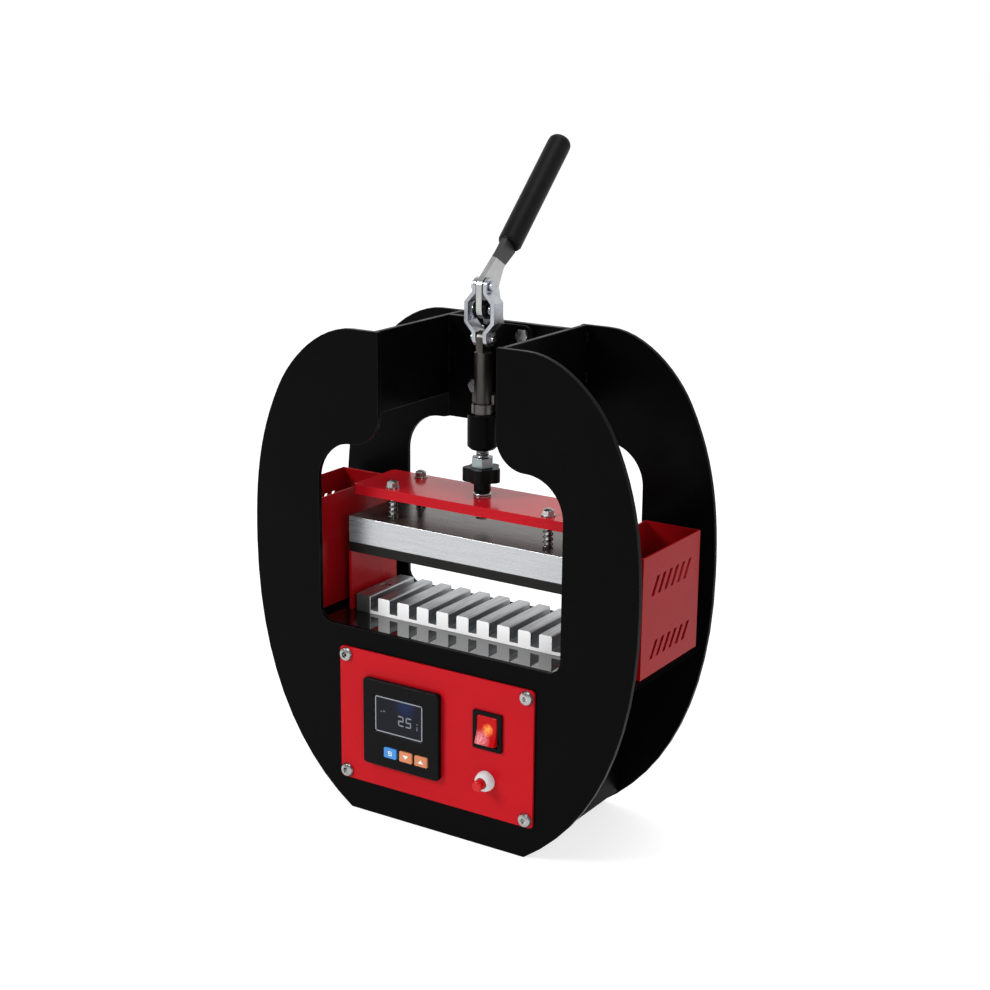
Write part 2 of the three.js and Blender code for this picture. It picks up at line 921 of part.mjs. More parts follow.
function spindle() {
  const collarBottom = pressurePlateTop + turningGap;
  const profile = [
    [0, spindleBottom],
    [spindleRadius, spindleBottom],
    [spindleRadius, collarBottom],
    [thrustCollarRadius, collarBottom],
    [thrustCollarRadius, collarBottom + thrustCollarHeight],
    [spindleRadius, collarBottom + thrustCollarHeight],
    [spindleRadius, spindleTop],
    [0, spindleTop],
  ];
  return turnedAt(profile, 0, headCentreY);
}

function nut(width, bottom, top, y) {
  return cut(
    alongZ(hexagon(width, 0, y), bottom, top),
    alongZ(disc(spindleRadius + clearance, 0, y, roundSides), bottom - width, top + width),
  );
}

function spindleNut() {
  const top = pressurePlateBottom - turningGap;
  return nut(spindleNutWidth, top - spindleNutHeight, top, headCentreY);
}

function lockNut() {
  return nut(lockNutWidth, knobTop, knobTop + lockNutHeight, headCentreY);
}

function adjustingKnob() {
  const points = [];
  const steps = knobLobes * curveSteps;
  for (let i = 0; i < steps; i += 1) {
    const angle = (i / steps) * Math.PI * 2;
    const radius = knobRadius + knobLobeDepth * Math.cos(angle * knobLobes);
    points.push([radius * Math.cos(angle), headCentreY + radius * Math.sin(angle)]);
  }
  const bore = disc(spindleRadius + clearance, 0, headCentreY, roundSides);
  return cut(
    join(
      alongZ(polygon(points), knobBottom, knobTop),
      alongZ(disc(hubRadius, 0, headCentreY, roundSides), hubBottom, knobTop),
    ),
    alongZ(bore, hubBottom - hubRadius, knobTop + hubRadius),
  );
}

// Toggle clamp

function plungerRod() {
  const profile = [[0, rodBottom], [rodRadius, rodBottom], [rodRadius, rodTop], [0, rodTop]];
  const tang = new THREE.Shape();
  const half = tangWidth / 2;
  tang.moveTo(pivotY - half, rodTop - rodRadius);
  tang.lineTo(pivotY + half, rodTop - rodRadius);
  tang.lineTo(pivotY + half, linkFootZ);
  tang.absarc(pivotY, linkFootZ, half, 0, Math.PI, false);
  const eye = disc(pinRadius + clearance, pivotY, linkFootZ);
  return cut(
    join(turnedAt(profile, 0, pivotY), alongX(tang, -tangThickness / 2, tangThickness / 2)),
    alongX(eye, -tangThickness, tangThickness),
    alongZ(disc(spindleRadius + turningGap, 0, pivotY, roundSides), rodBottom - rodRadius, rodBoreTop),
  );
}

function clampBarrel() {
  const profile = [
    [0, barrelBottom],
    [barrelRadius - barrelChamfer, barrelBottom],
    [barrelRadius, barrelBottom + barrelChamfer],
    [barrelRadius, barrelTop],
    [0, barrelTop],
  ];
  return cut(
    turnedAt(profile, 0, pivotY),
    alongZ(disc(rodRadius + turningGap, 0, pivotY, roundSides), barrelBottom - rodRadius, barrelTop * 2),
    alongZ(disc(neckRadius + clearance, 0, pivotY, roundSides), neckBottom - clearance, barrelTop * 2),
  );
}

function clampFlange() {
  const rear = crossPlateFront;
  const lobes = clampBoltPlaces().map(([x, z]) => (
    alongY(disc(flangeLobeRadius, x, z, roundSides), flangeFront, rear)
  ));
  const [lowA, lowB] = [lowerBoltZ - flangeLobeRadius, lowerBoltZ + flangeLobeRadius];
  const [highA, highB] = [upperBoltZ - flangeLobeRadius, upperBoltZ + flangeLobeRadius];
  return cut(
    join(
      block(-flangeWaist, flangeWaist, flangeFront, rear, flangeBottom, flangeTop),
      block(-lowerBoltX, lowerBoltX, flangeFront, rear, lowA, lowB),
      block(-upperBoltX, upperBoltX, flangeFront, rear, highA, highB),
      ...lobes,
    ),
    ...clampBoltHoles(flangeFront - flangeThickness, rear + flangeThickness),
  );
}

function earShape() {
  const shape = new THREE.Shape();
  shape.moveTo(flangeFront, earBottom);
  shape.lineTo(flangeFront, flangeTop);
  shape.lineTo(earHeelY, earHeelZ);
  shape.lineTo(earTopY, earTopZ);
  shape.lineTo(earFrontY, earTopZ);
  shape.lineTo(earFrontY, earFrontZ);
  shape.absarc(pivotY, pivotZ, earRadius, Math.PI / 3, Math.PI * 11 / 6, false);
  shape.lineTo(earThroatY, earThroatTop);
  shape.lineTo(earThroatY, earBottom);
  return shape;
}

function clampBody() {
  const outside = earInside + earThickness;
  const pivotEye = disc(pinRadius + clearance, pivotY, pivotZ);
  return cut(
    join(
      clampFlange(),
      alongX(earShape(), earInside, outside),
      alongX(earShape(), -outside, -earInside),
      block(-outside, outside, webFront, flangeFront, earBottom, flangeTop),
      block(-outside, outside, earThroatY, flangeFront, neckTop, earBottom),
      block(-saddleHalfWidth, saddleHalfWidth, saddleFront, flangeFront, neckTop, saddleTop),
      block(-outside, outside, pivotY, flangeFront, barrelTop, neckTop),
      alongZ(disc(neckRadius, 0, pivotY, roundSides), neckBottom, neckTop),
    ),
    alongZ(disc(rodRadius + turningGap, 0, pivotY, roundSides), barrelBottom, earBottom),
    alongX(pivotEye, -outside * 2, outside * 2),
  );
}

function clampBolt([x, z]) {
  const rear = crossPlateFront + crossPlateThickness + clampBoltEnd;
  return join(
    alongY(hexagon(clampBoltHexWidth, x, z), flangeFront - clampBoltHexHeight, flangeFront),
    alongY(disc(clampBoltRadius, x, z), flangeFront, rear),
  );
}

// A pin along x with a flat head outside each of the faces that it holds.
function headedPin(y, z, end, headRadius, headInside) {
  return join(
    alongX(disc(pinRadius, y, z), -end, end),
    alongX(disc(headRadius, y, z), headInside, end),
    alongX(disc(headRadius, y, z), -end, -headInside),
  );
}

function pivotPin() {
  return headedPin(pivotY, pivotZ, pivotPinEnd, pivotHeadRadius, earInside + earThickness + clearance);
}

function linkPin() {
  return headedPin(pivotY, linkTopZ, linkPinEnd, linkPinHeadRadius, linkInside + linkThickness + clearance);
}

// The link's side profile in x and z: straight at both eyes and bowed out between them.
function linkProfile(side) {
  const outer = linkInside + linkThickness;
  const [foot, head] = [linkFootZ, linkTopZ];
  const skew = linkThickness / 4;
  const [footBend, headBend] = [foot + linkFootStraight, head - linkHeadStraight];
  const [bowLow, bowHigh] = [footBend + linkFootSlope, headBend - linkHeadSlope];
  const inner = [
    [linkInside, foot - linkEndRadius],
    [linkInside, footBend],
    [linkInside + linkBow, bowLow],
    [linkInside + linkBow, bowHigh],
    [linkInside, headBend],
    [linkInside, head + linkEndRadius],
  ];
  const outside = [
    [outer, head + linkEndRadius],
    [outer, headBend + skew],
    [outer + linkBow, bowHigh + skew],
    [outer + linkBow, bowLow - skew],
    [outer, footBend - skew],
    [outer, foot - linkEndRadius],
  ];
  return polygon([...inner, ...outside].map(([x, z]) => [side * x, z]));
}

function link(side) {
  const face = new THREE.Shape();
  face.absarc(pivotY, linkTopZ, linkEndRadius, 0, Math.PI, false);
  face.absarc(pivotY, linkFootZ, linkEndRadius, Math.PI, Math.PI * 2, false);
  const reach = linkInside + linkThickness + linkBow;
  const eye = pinRadius + turningGap;
  const strip = alongY(linkProfile(side), pivotY - linkEndRadius, pivotY + linkEndRadius);
  return cut(
    strip.intersect(alongX(face, -reach * 2, reach * 2)),
    alongX(disc(eye, pivotY, linkTopZ), -reach, reach),
    alongX(disc(pinRadius + clearance, pivotY, linkFootZ), -reach, reach),
  );
}

// The rivet on each link's foot, where the link meets the tang of the rod.
function linkRivet(side) {
  const headInside = linkInside + linkThickness;
  const headMiddle = (headInside + rivetEnd) / 2;
  const ends = [[headInside, headMiddle], [headMiddle, rivetEnd]];
  const radii = [rivetHeadRadius, rivetHeadRadius * 3 / 4];
  const steps = ends.map(([x0, x1], i) => {
    const [from, to] = side > 0 ? [x0, x1] : [-x1, -x0];
    return alongX(disc(radii[i], pivotY, linkFootZ), from, to);
  });
  const [from, to] = side > 0 ? [linkInside, headMiddle] : [-headMiddle, -linkInside];
  return join(alongX(disc(pinRadius, pivotY, linkFootZ), from, to), ...steps);
}

// Handle

function besideGrip(along, across) {
  const [dy, dz] = gripDirection;
  return [gripBaseY + along * dy + across * dz, gripBaseZ + along * dz - across * dy];
}

function barShape() {
  const half = barGripWidth / 2;
  const shape = new THREE.Shape();
  shape.absarc(pivotY, pivotZ, barEndRadius, Math.PI, Math.PI * 2, false);
  shape.lineTo(barHeelY, barHeelZ);
  shape.lineTo(barBellyY, barBellyZ);
  shape.lineTo(barNeckY, barNeckZ);
  shape.lineTo(...besideGrip(0, half));
  shape.lineTo(...besideGrip(0, tongueWidth / 2));
  shape.lineTo(...besideGrip(tongueLength, tongueWidth / 2));
  shape.lineTo(...besideGrip(tongueLength, -tongueWidth / 2));
  shape.lineTo(...besideGrip(0, -tongueWidth / 2));
  shape.lineTo(...besideGrip(0, -half));
  shape.lineTo(barShoulderY, barShoulderZ);
  shape.absarc(pivotY, linkTopZ, barEndRadius, radians(barElbowAngle), Math.PI, false);
  return shape;
}

function handleBar() {
  const half = barThickness / 2;
  return cut(
    alongX(barShape(), -half, half),
    alongX(disc(pinRadius + turningGap, pivotY, pivotZ), -barThickness, barThickness),
    alongX(disc(pinRadius + clearance, pivotY, linkTopZ), -barThickness, barThickness),
  );
}

function grip() {
  const profile = [
    [0, clearance],
    [gripBaseRadius, clearance],
    [gripRadius, gripBaseHeight],
    [gripRadius, gripLength - gripDome],
  ];
  const steps = curveSteps / 2;
  for (let i = 1; i <= steps; i += 1) {
    const angle = (i / steps) * Math.PI / 2;
    const radius = gripRadius - gripDome + gripDome * Math.cos(angle);
    profile.push([radius, gripLength - gripDome + gripDome * Math.sin(angle)]);
  }
  profile.push([0, gripLength]);
  const geometry = new THREE.LatheGeometry(profile.map(pair), roundSides * 3 / 5);
  geometry.rotateX(radians(gripAngle));
  geometry.translate(0, gripBaseY, gripBaseZ);
  const slot = [
    besideGrip(-gripBaseHeight, tongueWidth / 2 + clearance),
    besideGrip(tongueLength + clearance, tongueWidth / 2 + clearance),
    besideGrip(tongueLength + clearance, -tongueWidth / 2 - clearance),
    besideGrip(-gripBaseHeight, -tongueWidth / 2 - clearance),
  ];
  const half = barThickness / 2 + clearance;
  return cut(solid(geometry), alongX(polygon(slot), -half, half));
}

// Pen baskets

function slantedSlot(y, bottom, top) {
  const [half, lean] = [slotWidth / 2, slotLean / 2];
  return polygon([
    [y - lean - half, bottom],
    [y - lean + half, bottom],
    [y + lean + half, top],
    [y + lean - half, top],
  ]);
}

function basketSlots() {
  const slots = [];
  for (let i = 0; i < slotCount; i += 1) {
    const y = basketMiddle + (i - (slotCount - 1) / 2) * slotPitch;
    slots.push(slantedSlot(y, lowerSlotBottom, lowerSlotTop));
    slots.push(slantedSlot(y, upperSlotBottom, upperSlotTop));
  }
  return slots.map((slot) => alongX(slot, -basketOutside * 2, basketOutside * 2));
}

function sided(side, inner, outer, y0, y1, z0, z1) {
  return side > 0 ? block(inner, outer, y0, y1, z0, z1) : block(-outer, -inner, y0, y1, z0, z1);
}

function basket(side) {
  const t = sheetThickness;
  const [inner, outer] = [basketInside, basketOutside];
  const outerWall = sided(side, outer - t, outer, basketFront, basketRear, basketFloor, basketTop);
  return join(
    sided(side, inner, outer, basketFront, basketRear, basketFloor, basketFloor + t),
    sided(side, inner, outer, basketFront, basketFront + t, basketFloor, basketTop),
    sided(side, inner, outer, basketRear - t, basketRear, basketFloor, basketTop),
    sided(side, inner, inner + t, basketFront, basketRear, basketFloor, basketTop),
    cut(outerWall, ...basketSlots()),
  );
}

function basketStrip(side) {
  const [inner, outer] = [stripX - stripWidth / 2, stripX + stripWidth / 2];
  const [front, rear] = [basketMiddle - stripLength / 2, basketMiddle + stripLength / 2];
  return sided(side, inner, outer, front, rear, shelfTop, basketFloor);
}

// Power inlet

// The socket and its fuse drawer share one moulding.
function powerInlet() {
  const rear = frameDepth + inletFlangeThickness;
  const height = inletFlangeTop - inletFlangeBottom;
  const middle = (inletFlangeTop + inletFlangeBottom) / 2;
  const rim = roundedRectangle(inletFlangeWidth, height, inletFlangeThickness, inletX, middle);
  const half = inletBodyWidth / 2;
  const [left, right] = [inletX - half, inletX + half];
  const mouth = rectangle(inletMouthWidth, inletMouthHeight, inletX, inletZ);
  const drawer = rectangle(fuseDrawerWidth, fuseDrawerHeight, inletX, inletZ + fuseDrawerRise);
  return cut(
    join(
      alongY(rim, frameDepth, rear),
      block(left, right, frameDepth - inletBodyDepth, frameDepth, inletBodyBottom, inletBodyTop),
      alongY(drawer, frameDepth, rear + fuseDrawerStandOut),
    ),
    alongY(mouth, rear - inletMouthDepth, rear + inletFlangeThickness),
  );
}

// Materials

function material(color, roughness, metalness) {
  return new THREE.MeshStandardMaterial({ color, roughness, metalness });
}

const blackPaint = () => material(0x1d1d20, 0.45, 0.3);
const blackGloss = () => material(0x101012, 0.15, 0.2);
const redPaint = () => material(0xc11a22, 0.3, 0.1);
const steel = () => material(0xb4b6b8, 0.35, 0.9);
const zinc = () => material(0xd3d6d8, 0.25, 0.9);
const aluminium = () => material(0xbfc2c4, 0.4, 0.8);
const darkCoating = () => material(0x262422, 0.6, 0.2);
const blackPlastic = () => material(0x18181a, 0.5, 0);
const rubber = () => material(0x141414, 0.75, 0);
const darkGlass = () => material(0x0a0a0c, 0.08, 0);
const bluePlastic = () => material(0x1f6fc4, 0.4, 0);
const orangePlastic = () => material(0xe2701c, 0.4, 0);
const redPlastic = () => material(0xd8141c, 0.25, 0);
const whitePlastic = () => material(0xe6e4e0, 0.4, 0);

// Assembly

const press = new THREE.Group();

function piece(name, body, finish) {
  const mesh = new THREE.Mesh(geometryOf(body), finish());
  mesh.name = name;
  press.add(mesh);
}

const panelCorners = ['lower_left', 'lower_right', 'upper_right', 'upper_left'];
const headCorners = ['front_left', 'front_right', 'rear_right', 'rear_left'];

function addSet(bodies, places, name, finish) {
  bodies.forEach((body, i) => piece(`${places[i]}_${name}`, body, finish));
}

function addFrame() {
  piece('front_plate', frontPlate(), blackPaint);
  piece('rear_plate', rearPlate(), blackPaint);
  piece('left_rib', rib(-1), blackPaint);
  piece('right_rib', rib(1), blackPaint);
  piece('clamp_mount_plate', crossPlate(), blackPaint);
  piece('shelf', shelf(), blackGloss);
  piece('lower_cover', lowerCover(), blackPaint);
}

function addControls() {
  piece('control_panel', controlPanel(), redPaint);
  addSet(panelScrewPlaces().map(panelScrew), panelCorners, 'panel_screw', steel);
  piece('controller_case', controllerCase(), blackPlastic);
  piece('controller_bezel', controllerBezel(), blackPlastic);
  piece('display_window', displayWindow(), darkGlass);
  piece('set_key', key(keySetX), bluePlastic);
  piece('down_key', key(keyDownX), orangePlastic);
  piece('up_key', key(keyUpX), orangePlastic);
  piece('rocker_frame', rockerFrame(), blackPlastic);
  piece('rocker_key', rockerKey(), redPlastic);
  piece('button_collar', buttonCollar(), whitePlastic);
  piece('button_cap', buttonCap(), redPlastic);
}

function addTray() {
  piece('pen_tray', penTray(), aluminium);
  piece('left_tray_screw', trayScrew(-trayScrewX), steel);
  piece('right_tray_screw', trayScrew(trayScrewX), steel);
}

function addHead() {
  const places = headBoltPlaces();
  piece('pressure_plate', pressurePlate(), redPaint);
  piece('heater_block', heaterBlock(), aluminium);
  piece('heat_platen', heatPlaten(), darkCoating);
  addSet(places.map(headBolt), headCorners, 'head_bolt', steel);
  addSet(places.map(headSpring), headCorners, 'head_spring', steel);
}

function addAdjuster() {
  piece('spindle', spindle(), steel);
  piece('spindle_nut', spindleNut(), steel);
  piece('adjusting_knob', adjustingKnob(), blackPlastic);
  piece('lock_nut', lockNut(), zinc);
}

function addClamp() {
  piece('plunger_rod', plungerRod(), steel);
  piece('clamp_barrel', clampBarrel(), blackPaint);
  piece('clamp_body', clampBody(), zinc);
  addSet(clampBoltPlaces().map(clampBolt), panelCorners, 'clamp_bolt', steel);
  piece('pivot_pin', pivotPin(), zinc);
  piece('handle_bar', handleBar(), zinc);
  piece('link_pin', linkPin(), zinc);
  piece('left_link', link(-1), zinc);
  piece('right_link', link(1), zinc);
  piece('left_link_rivet', linkRivet(-1), steel);
  piece('right_link_rivet', linkRivet(1), steel);
  piece('handle_grip', grip(), rubber);
}

function addBaskets() {
  piece('left_basket', basket(-1), redPaint);
  piece('right_basket', basket(1), redPaint);
  piece('left_basket_strip', basketStrip(-1), blackPaint);
  piece('right_basket_strip', basketStrip(1), blackPaint);
}

function addInlet() {
  piece('power_inlet', powerInlet(), blackPlastic);
}

function centreOnTable() {
  const box = new THREE.Box3().setFromObject(press);
  const middle = (box.min.y + box.max.y) / 2;
  press.children.forEach((mesh) => mesh.geometry.translate(0, -middle, 0));
}

addFrame();
addControls();
addTray();
addHead();
addAdjuster();
addClamp();
addBaskets();
addInlet();
centreOnTable();

const gap = springGap();
console.log(`least gap between the turns of a head spring: ${gap.toFixed(2)} mm`);
if (gap < springLeastGap) {
  throw new Error('the turns of the head springs lie too close together');
}

export default press;
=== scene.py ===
"""Looks of the pen heat press, built round its CAD frame.

The frame's lengths are in metres, and the sizes and places named here are in millimetres.
"""
import json
import math
from random import Random

import bmesh
import bpy
from mathutils import Matrix, Vector


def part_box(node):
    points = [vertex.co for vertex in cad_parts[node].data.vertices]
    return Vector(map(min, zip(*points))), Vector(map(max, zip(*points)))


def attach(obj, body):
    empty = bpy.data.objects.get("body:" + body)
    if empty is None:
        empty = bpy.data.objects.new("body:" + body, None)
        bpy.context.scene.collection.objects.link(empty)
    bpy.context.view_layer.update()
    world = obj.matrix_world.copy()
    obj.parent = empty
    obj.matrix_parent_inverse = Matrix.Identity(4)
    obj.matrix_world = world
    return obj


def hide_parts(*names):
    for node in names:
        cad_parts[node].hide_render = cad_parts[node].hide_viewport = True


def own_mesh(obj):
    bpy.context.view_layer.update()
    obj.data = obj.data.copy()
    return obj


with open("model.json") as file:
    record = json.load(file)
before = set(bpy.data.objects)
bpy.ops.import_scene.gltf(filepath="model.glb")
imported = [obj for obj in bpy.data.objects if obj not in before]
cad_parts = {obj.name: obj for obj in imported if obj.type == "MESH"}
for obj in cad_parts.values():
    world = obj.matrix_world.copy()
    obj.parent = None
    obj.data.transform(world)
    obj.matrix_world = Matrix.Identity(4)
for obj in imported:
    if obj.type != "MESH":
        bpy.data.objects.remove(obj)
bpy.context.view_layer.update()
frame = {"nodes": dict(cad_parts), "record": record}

MM = 0.001
NODES = frame["nodes"]
RECORD = frame["record"]
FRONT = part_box("front_plate")[0].y
SLOT_OF = {part["node"]: part["material_slot"] for part in RECORD["subparts"]}
BODY_OF = {
    node: body for body, members in RECORD["behaviour"]["bodies"].items() for node in members
}


def place(x, y, z):
    """A point given in millimetres from the front plate's front face, in the frame's metres."""
    return Vector((x * MM, FRONT + y * MM, z * MM))


def corners(node):
    """The low and the high corner of a node's box, in the millimetres that place takes."""
    return [Vector((corner.x, corner.y - FRONT, corner.z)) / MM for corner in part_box(node)]


def middle(node):
    """The middle of a node's box, in the millimetres that place takes."""
    low, high = corners(node)
    return (low + high) / 2


# Camera, fitted to the photograph's view

FOCAL_PIXELS = 1800.86
IMAGE_PIXELS = 990
SENSOR_WIDTH = 36
CAMERA_AZIMUTH = math.radians(32.56)
CAMERA_ELEVATION = math.radians(15.32)
CAMERA_ROLL = math.radians(0.56)
CAMERA_TARGET = place(53.0, 0, 283.47)
CAMERA_DISTANCE = 1320.66
NEAREST_SEEN = 50
FARTHEST_SEEN = 50000


def add_camera():
    data = bpy.data.cameras.new("photo_camera")
    data.sensor_width = SENSOR_WIDTH
    data.lens = FOCAL_PIXELS * SENSOR_WIDTH / IMAGE_PIXELS
    data.clip_start = NEAREST_SEEN * MM
    data.clip_end = FARTHEST_SEEN * MM
    camera = bpy.data.objects.new("photo_camera", data)
    back = Vector((
        math.sin(CAMERA_AZIMUTH) * math.cos(CAMERA_ELEVATION),
        -math.cos(CAMERA_AZIMUTH) * math.cos(CAMERA_ELEVATION),
        math.sin(CAMERA_ELEVATION),
    ))
    level = (-back).cross(Vector((0, 0, 1))).normalized()
    upright = level.cross(-back)
    right = level * math.cos(CAMERA_ROLL) + upright * math.sin(CAMERA_ROLL)
    up = upright * math.cos(CAMERA_ROLL) - level * math.sin(CAMERA_ROLL)
    turn = Matrix((right, up, back)).transposed().to_4x4()
    spot = CAMERA_TARGET + back * CAMERA_DISTANCE * MM
    camera.matrix_world = Matrix.Translation(spot) @ turn
    bpy.context.scene.collection.objects.link(camera)
    bpy.context.scene.camera = camera


# Building up a material

# Sockets of a mix node that mixes colours
MIX_FACTOR = 0
MIX_FIRST = 6
MIX_SECOND = 7
MIX_RESULT = 2

# The middle stretch of a noise texture's values, in which most of them lie
NOISE_LOW = 0.3
NOISE_HIGH = 0.7
NOISE_ROUGHNESS = 0.55

# Radians of phase that a wave texture runs through over one unit of its scaled coordinate
WAVE_PHASE = 20

# The cosine between the rounded normal and the face's own, on a flat face and on a sharp edge
EDGE_FLAT = 0.995
EDGE_SHARP = 0.93


class Paint:
    """A node material built up from a principled shader, with its sizes in millimetres."""

    def __init__(self, name, color, roughness, metallic=0.0):
        self.material = bpy.data.materials.new(name)
        self.material.use_nodes = True
        self.tree = self.material.node_tree
        self.shader = self.tree.nodes["Principled BSDF"]
        self.set("Base Color", (*color, 1))
        self.set("Roughness", roughness)
        self.set("Metallic", metallic)
        self.material.diffuse_color = (*color, 1)
        self.color = color
        self.relief = None

    def set(self, socket, value):
        """One value for the whole surface."""
        self.shader.inputs[socket].default_value = value

    def feed(self, socket, output):
        """A value that differs over the surface, from another node."""
        self.link(output, self.shader.inputs[socket])

    def node(self, kind, **values):
        made = self.tree.nodes.new(kind)
        for name, value in values.items():
            setattr(made, name, value)
        return made

    def link(self, start, end):
        self.tree.links.new(start, end)

    def position(self):
        return self.node("ShaderNodeTexCoord").outputs["Object"]

    def stretched_position(self, stretch):
        mapping = self.node("ShaderNodeMapping")
        mapping.inputs["Scale"].default_value = stretch
        self.link(self.position(), mapping.inputs["Vector"])
        return mapping.outputs["Vector"]

    def position_along(self, axis):
        parts = self.node("ShaderNodeSeparateXYZ")
        self.link(self.position(), parts.inputs["Vector"])
        return parts.outputs[axis]

    def noise(self, size, stretch=(1, 1, 1), detail=4.0):
        """Noise whose features are about this wide."""
        texture = self.node("ShaderNodeTexNoise")
        texture.inputs["Scale"].default_value = 1 / (size * MM)
        texture.inputs["Detail"].default_value = detail
        texture.inputs["Roughness"].default_value = NOISE_ROUGHNESS
        self.link(self.stretched_position(stretch), texture.inputs["Vector"])
        return texture.outputs["Fac"]

    def ridges(self, axis, period, profile):
        """A wave that repeats along the axis after each period."""
        wave = self.node("ShaderNodeTexWave", bands_direction=axis, wave_profile=profile)
        wave.inputs["Scale"].default_value = 2 * math.pi / (WAVE_PHASE * period * MM)
        self.link(self.position(), wave.inputs["Vector"])
        return wave.outputs["Fac"]

    def calculated(self, operation, *values):
        made = self.node("ShaderNodeMath", operation=operation)
        for socket, value in zip(made.inputs, values):
            self.link(value, socket)
        return made.outputs["Value"]

    def ranged(self, value, low, high, start=0.0, end=1.0):
        """The value's stretch from start to end, moved to low to high and cut off there."""
        ranged = self.node("ShaderNodeMapRange")
        ranged.inputs["From Min"].default_value = start
        ranged.inputs["From Max"].default_value = end
        ranged.inputs["To Min"].default_value = low
        ranged.inputs["To Max"].default_value = high
        self.link(value, ranged.inputs["Value"])
        return ranged.outputs["Result"]

    def stepped(self, value, edge, blur):
        """Zero before an edge given in metres and one past it, with a blur in millimetres."""
        return self.ranged(value, 0, 1, edge - blur * MM / 2, edge + blur * MM / 2)

    def spot(self, centre, core, radius):
        """One in the core round a point in metres, and fading to zero at the radius."""
        distance = self.node("ShaderNodeVectorMath", operation="DISTANCE")
        self.link(self.position(), distance.inputs[0])
        distance.inputs[1].default_value = centre
        return self.ranged(distance.outputs["Value"], 1, 0, core * MM, radius * MM)

    def mixed(self, factor, first, second):
        """The first colour where the factor is zero, and the second where it is one."""
        mix = self.node("ShaderNodeMix", data_type="RGBA")
        for socket, value in ((MIX_FIRST, first), (MIX_SECOND, second)):
            if isinstance(value, tuple):
                mix.inputs[socket].default_value = (*value, 1)
            else:
                self.link(value, mix.inputs[socket])
        self.link(factor, mix.inputs[MIX_FACTOR])
        return mix.outputs[MIX_RESULT]

    def patches(self, size, low=0.0, high=1.0, stretch=(1, 1, 1)):
        return self.ranged(self.noise(size, stretch), low, high, NOISE_LOW, NOISE_HIGH)

    def vary_color(self, size, amount, stretch=(1, 1, 1)):
        """Patches of this size, darker and lighter than the paint's colour by a share of it."""
        darker = tuple(c * (1 - amount) for c in self.color)
        lighter = tuple(min(1, c * (1 + amount)) for c in self.color)
        color = self.mixed(self.patches(size, stretch=stretch), darker, lighter)
        self.feed("Base Color", color)
        return color

    def vary_roughness(self, size, low, high, stretch=(1, 1, 1)):
        self.feed("Roughness", self.patches(size, low, high, stretch))

    def bump(self, height, depth, strength=1.0):
        """Relief of this depth, stacked on any relief before it."""
        bump = self.node("ShaderNodeBump")
        bump.inputs["Strength"].default_value = strength
        bump.inputs["Distance"].default_value = depth * MM
        self.link(height, bump.inputs["Height"])
        if self.relief:
            self.link(self.relief, bump.inputs["Normal"])
        self.relief = bump.outputs["Normal"]
        self.feed("Normal", self.relief)

    def edge_mask(self, radius):
        """One on sharp edges and zero on flat faces."""
        bevel = self.node("ShaderNodeBevel", samples=6)
        bevel.inputs["Radius"].default_value = radius * MM
        geometry = self.node("ShaderNodeNewGeometry")
        cosine = self.node("ShaderNodeVectorMath", operation="DOT_PRODUCT")
        self.link(bevel.outputs["Normal"], cosine.inputs[0])
        self.link(geometry.outputs["Normal"], cosine.inputs[1])
        return self.ranged(cosine.outputs["Value"], 1, 0, EDGE_SHARP, EDGE_FLAT)

    def facing_mask(self, axis, start=0.6, end=0.8):
        """One on faces whose normal points along the axis, and zero on the others."""
        geometry = self.node("ShaderNodeNewGeometry")
        parts = self.node("ShaderNodeSeparateXYZ")
        self.link(geometry.outputs["Normal"], parts.inputs["Vector"])
        return self.ranged(parts.outputs[axis], 0, 1, start, end)


# Finishes that several pieces share


def powder_coat():
    """Dull black with a fine orange peel, a little paler on its sharp edges, as a painted highlight
    and wear.
    """
    paint = Paint("black_powder_coat", (0.0015, 0.0015, 0.0016), roughness=0.3)
    paint.set("Specular IOR Level", 0.03)
    base = paint.vary_color(size=60, amount=0.12)
    # pale grey on sharp edges: a painted edge highlight, partly edge wear
    wear_and_edge_highlight = (0.014, 0.014, 0.014)
    paint.feed("Base Color", paint.mixed(paint.edge_mask(radius=0.7), base, wear_and_edge_highlight))
    paint.vary_roughness(size=25, low=0.25, high=0.37)
    paint.bump(paint.noise(size=0.9, detail=2), depth=0.035, strength=0.5)
    paint.bump(paint.noise(size=7, detail=2), depth=0.05, strength=0.25)
    return paint.material


def gloss_paint(name, color, roughness, specular, mirror=0.0):
    """Gloss paint, with a clear coat of the weight named mirror on faces that look up."""
    paint = Paint(name, color, roughness)
    paint.set("Specular IOR Level", specular)
    paint.vary_color(size=90, amount=0.05)
    paint.vary_roughness(size=35, low=roughness - 0.03, high=roughness + 0.06)
    if mirror:
        paint.feed("Coat Weight", paint.ranged(paint.facing_mask("Z"), low=0, high=mirror))
        paint.set("Coat Roughness", 0.06)
    paint.bump(paint.noise(size=1.6, detail=2), depth=0.02, strength=0.4)
    return paint.material


def plated(name, color, roughness):
    paint = Paint(name, color, roughness, metallic=1.0)
    paint.vary_color(size=11, amount=0.14)
    paint.vary_roughness(size=5, low=roughness - 0.05, high=roughness + 0.1)
    paint.bump(paint.noise(size=1.3, detail=2), depth=0.006, strength=0.3)
    return paint.material


def moulded(name, color, roughness, specular, grain=0.5, depth=0.02):
    paint = Paint(name, color, roughness)
    paint.set("Specular IOR Level", specular)
    paint.vary_color(size=20, amount=0.06)
    paint.vary_roughness(size=8, low=roughness - 0.05, high=roughness + 0.06)
    paint.bump(paint.noise(grain, detail=2), depth, strength=0.5)
    return paint.material


def glowing(name, color, strength):
    paint = Paint(name, color, roughness=0.3)
    paint.set("Emission Color", (*color, 1))
    paint.set("Emission Strength", strength)
    paint.vary_roughness(size=4, low=0.25, high=0.35)
    return paint.material


# Finishes of single pieces

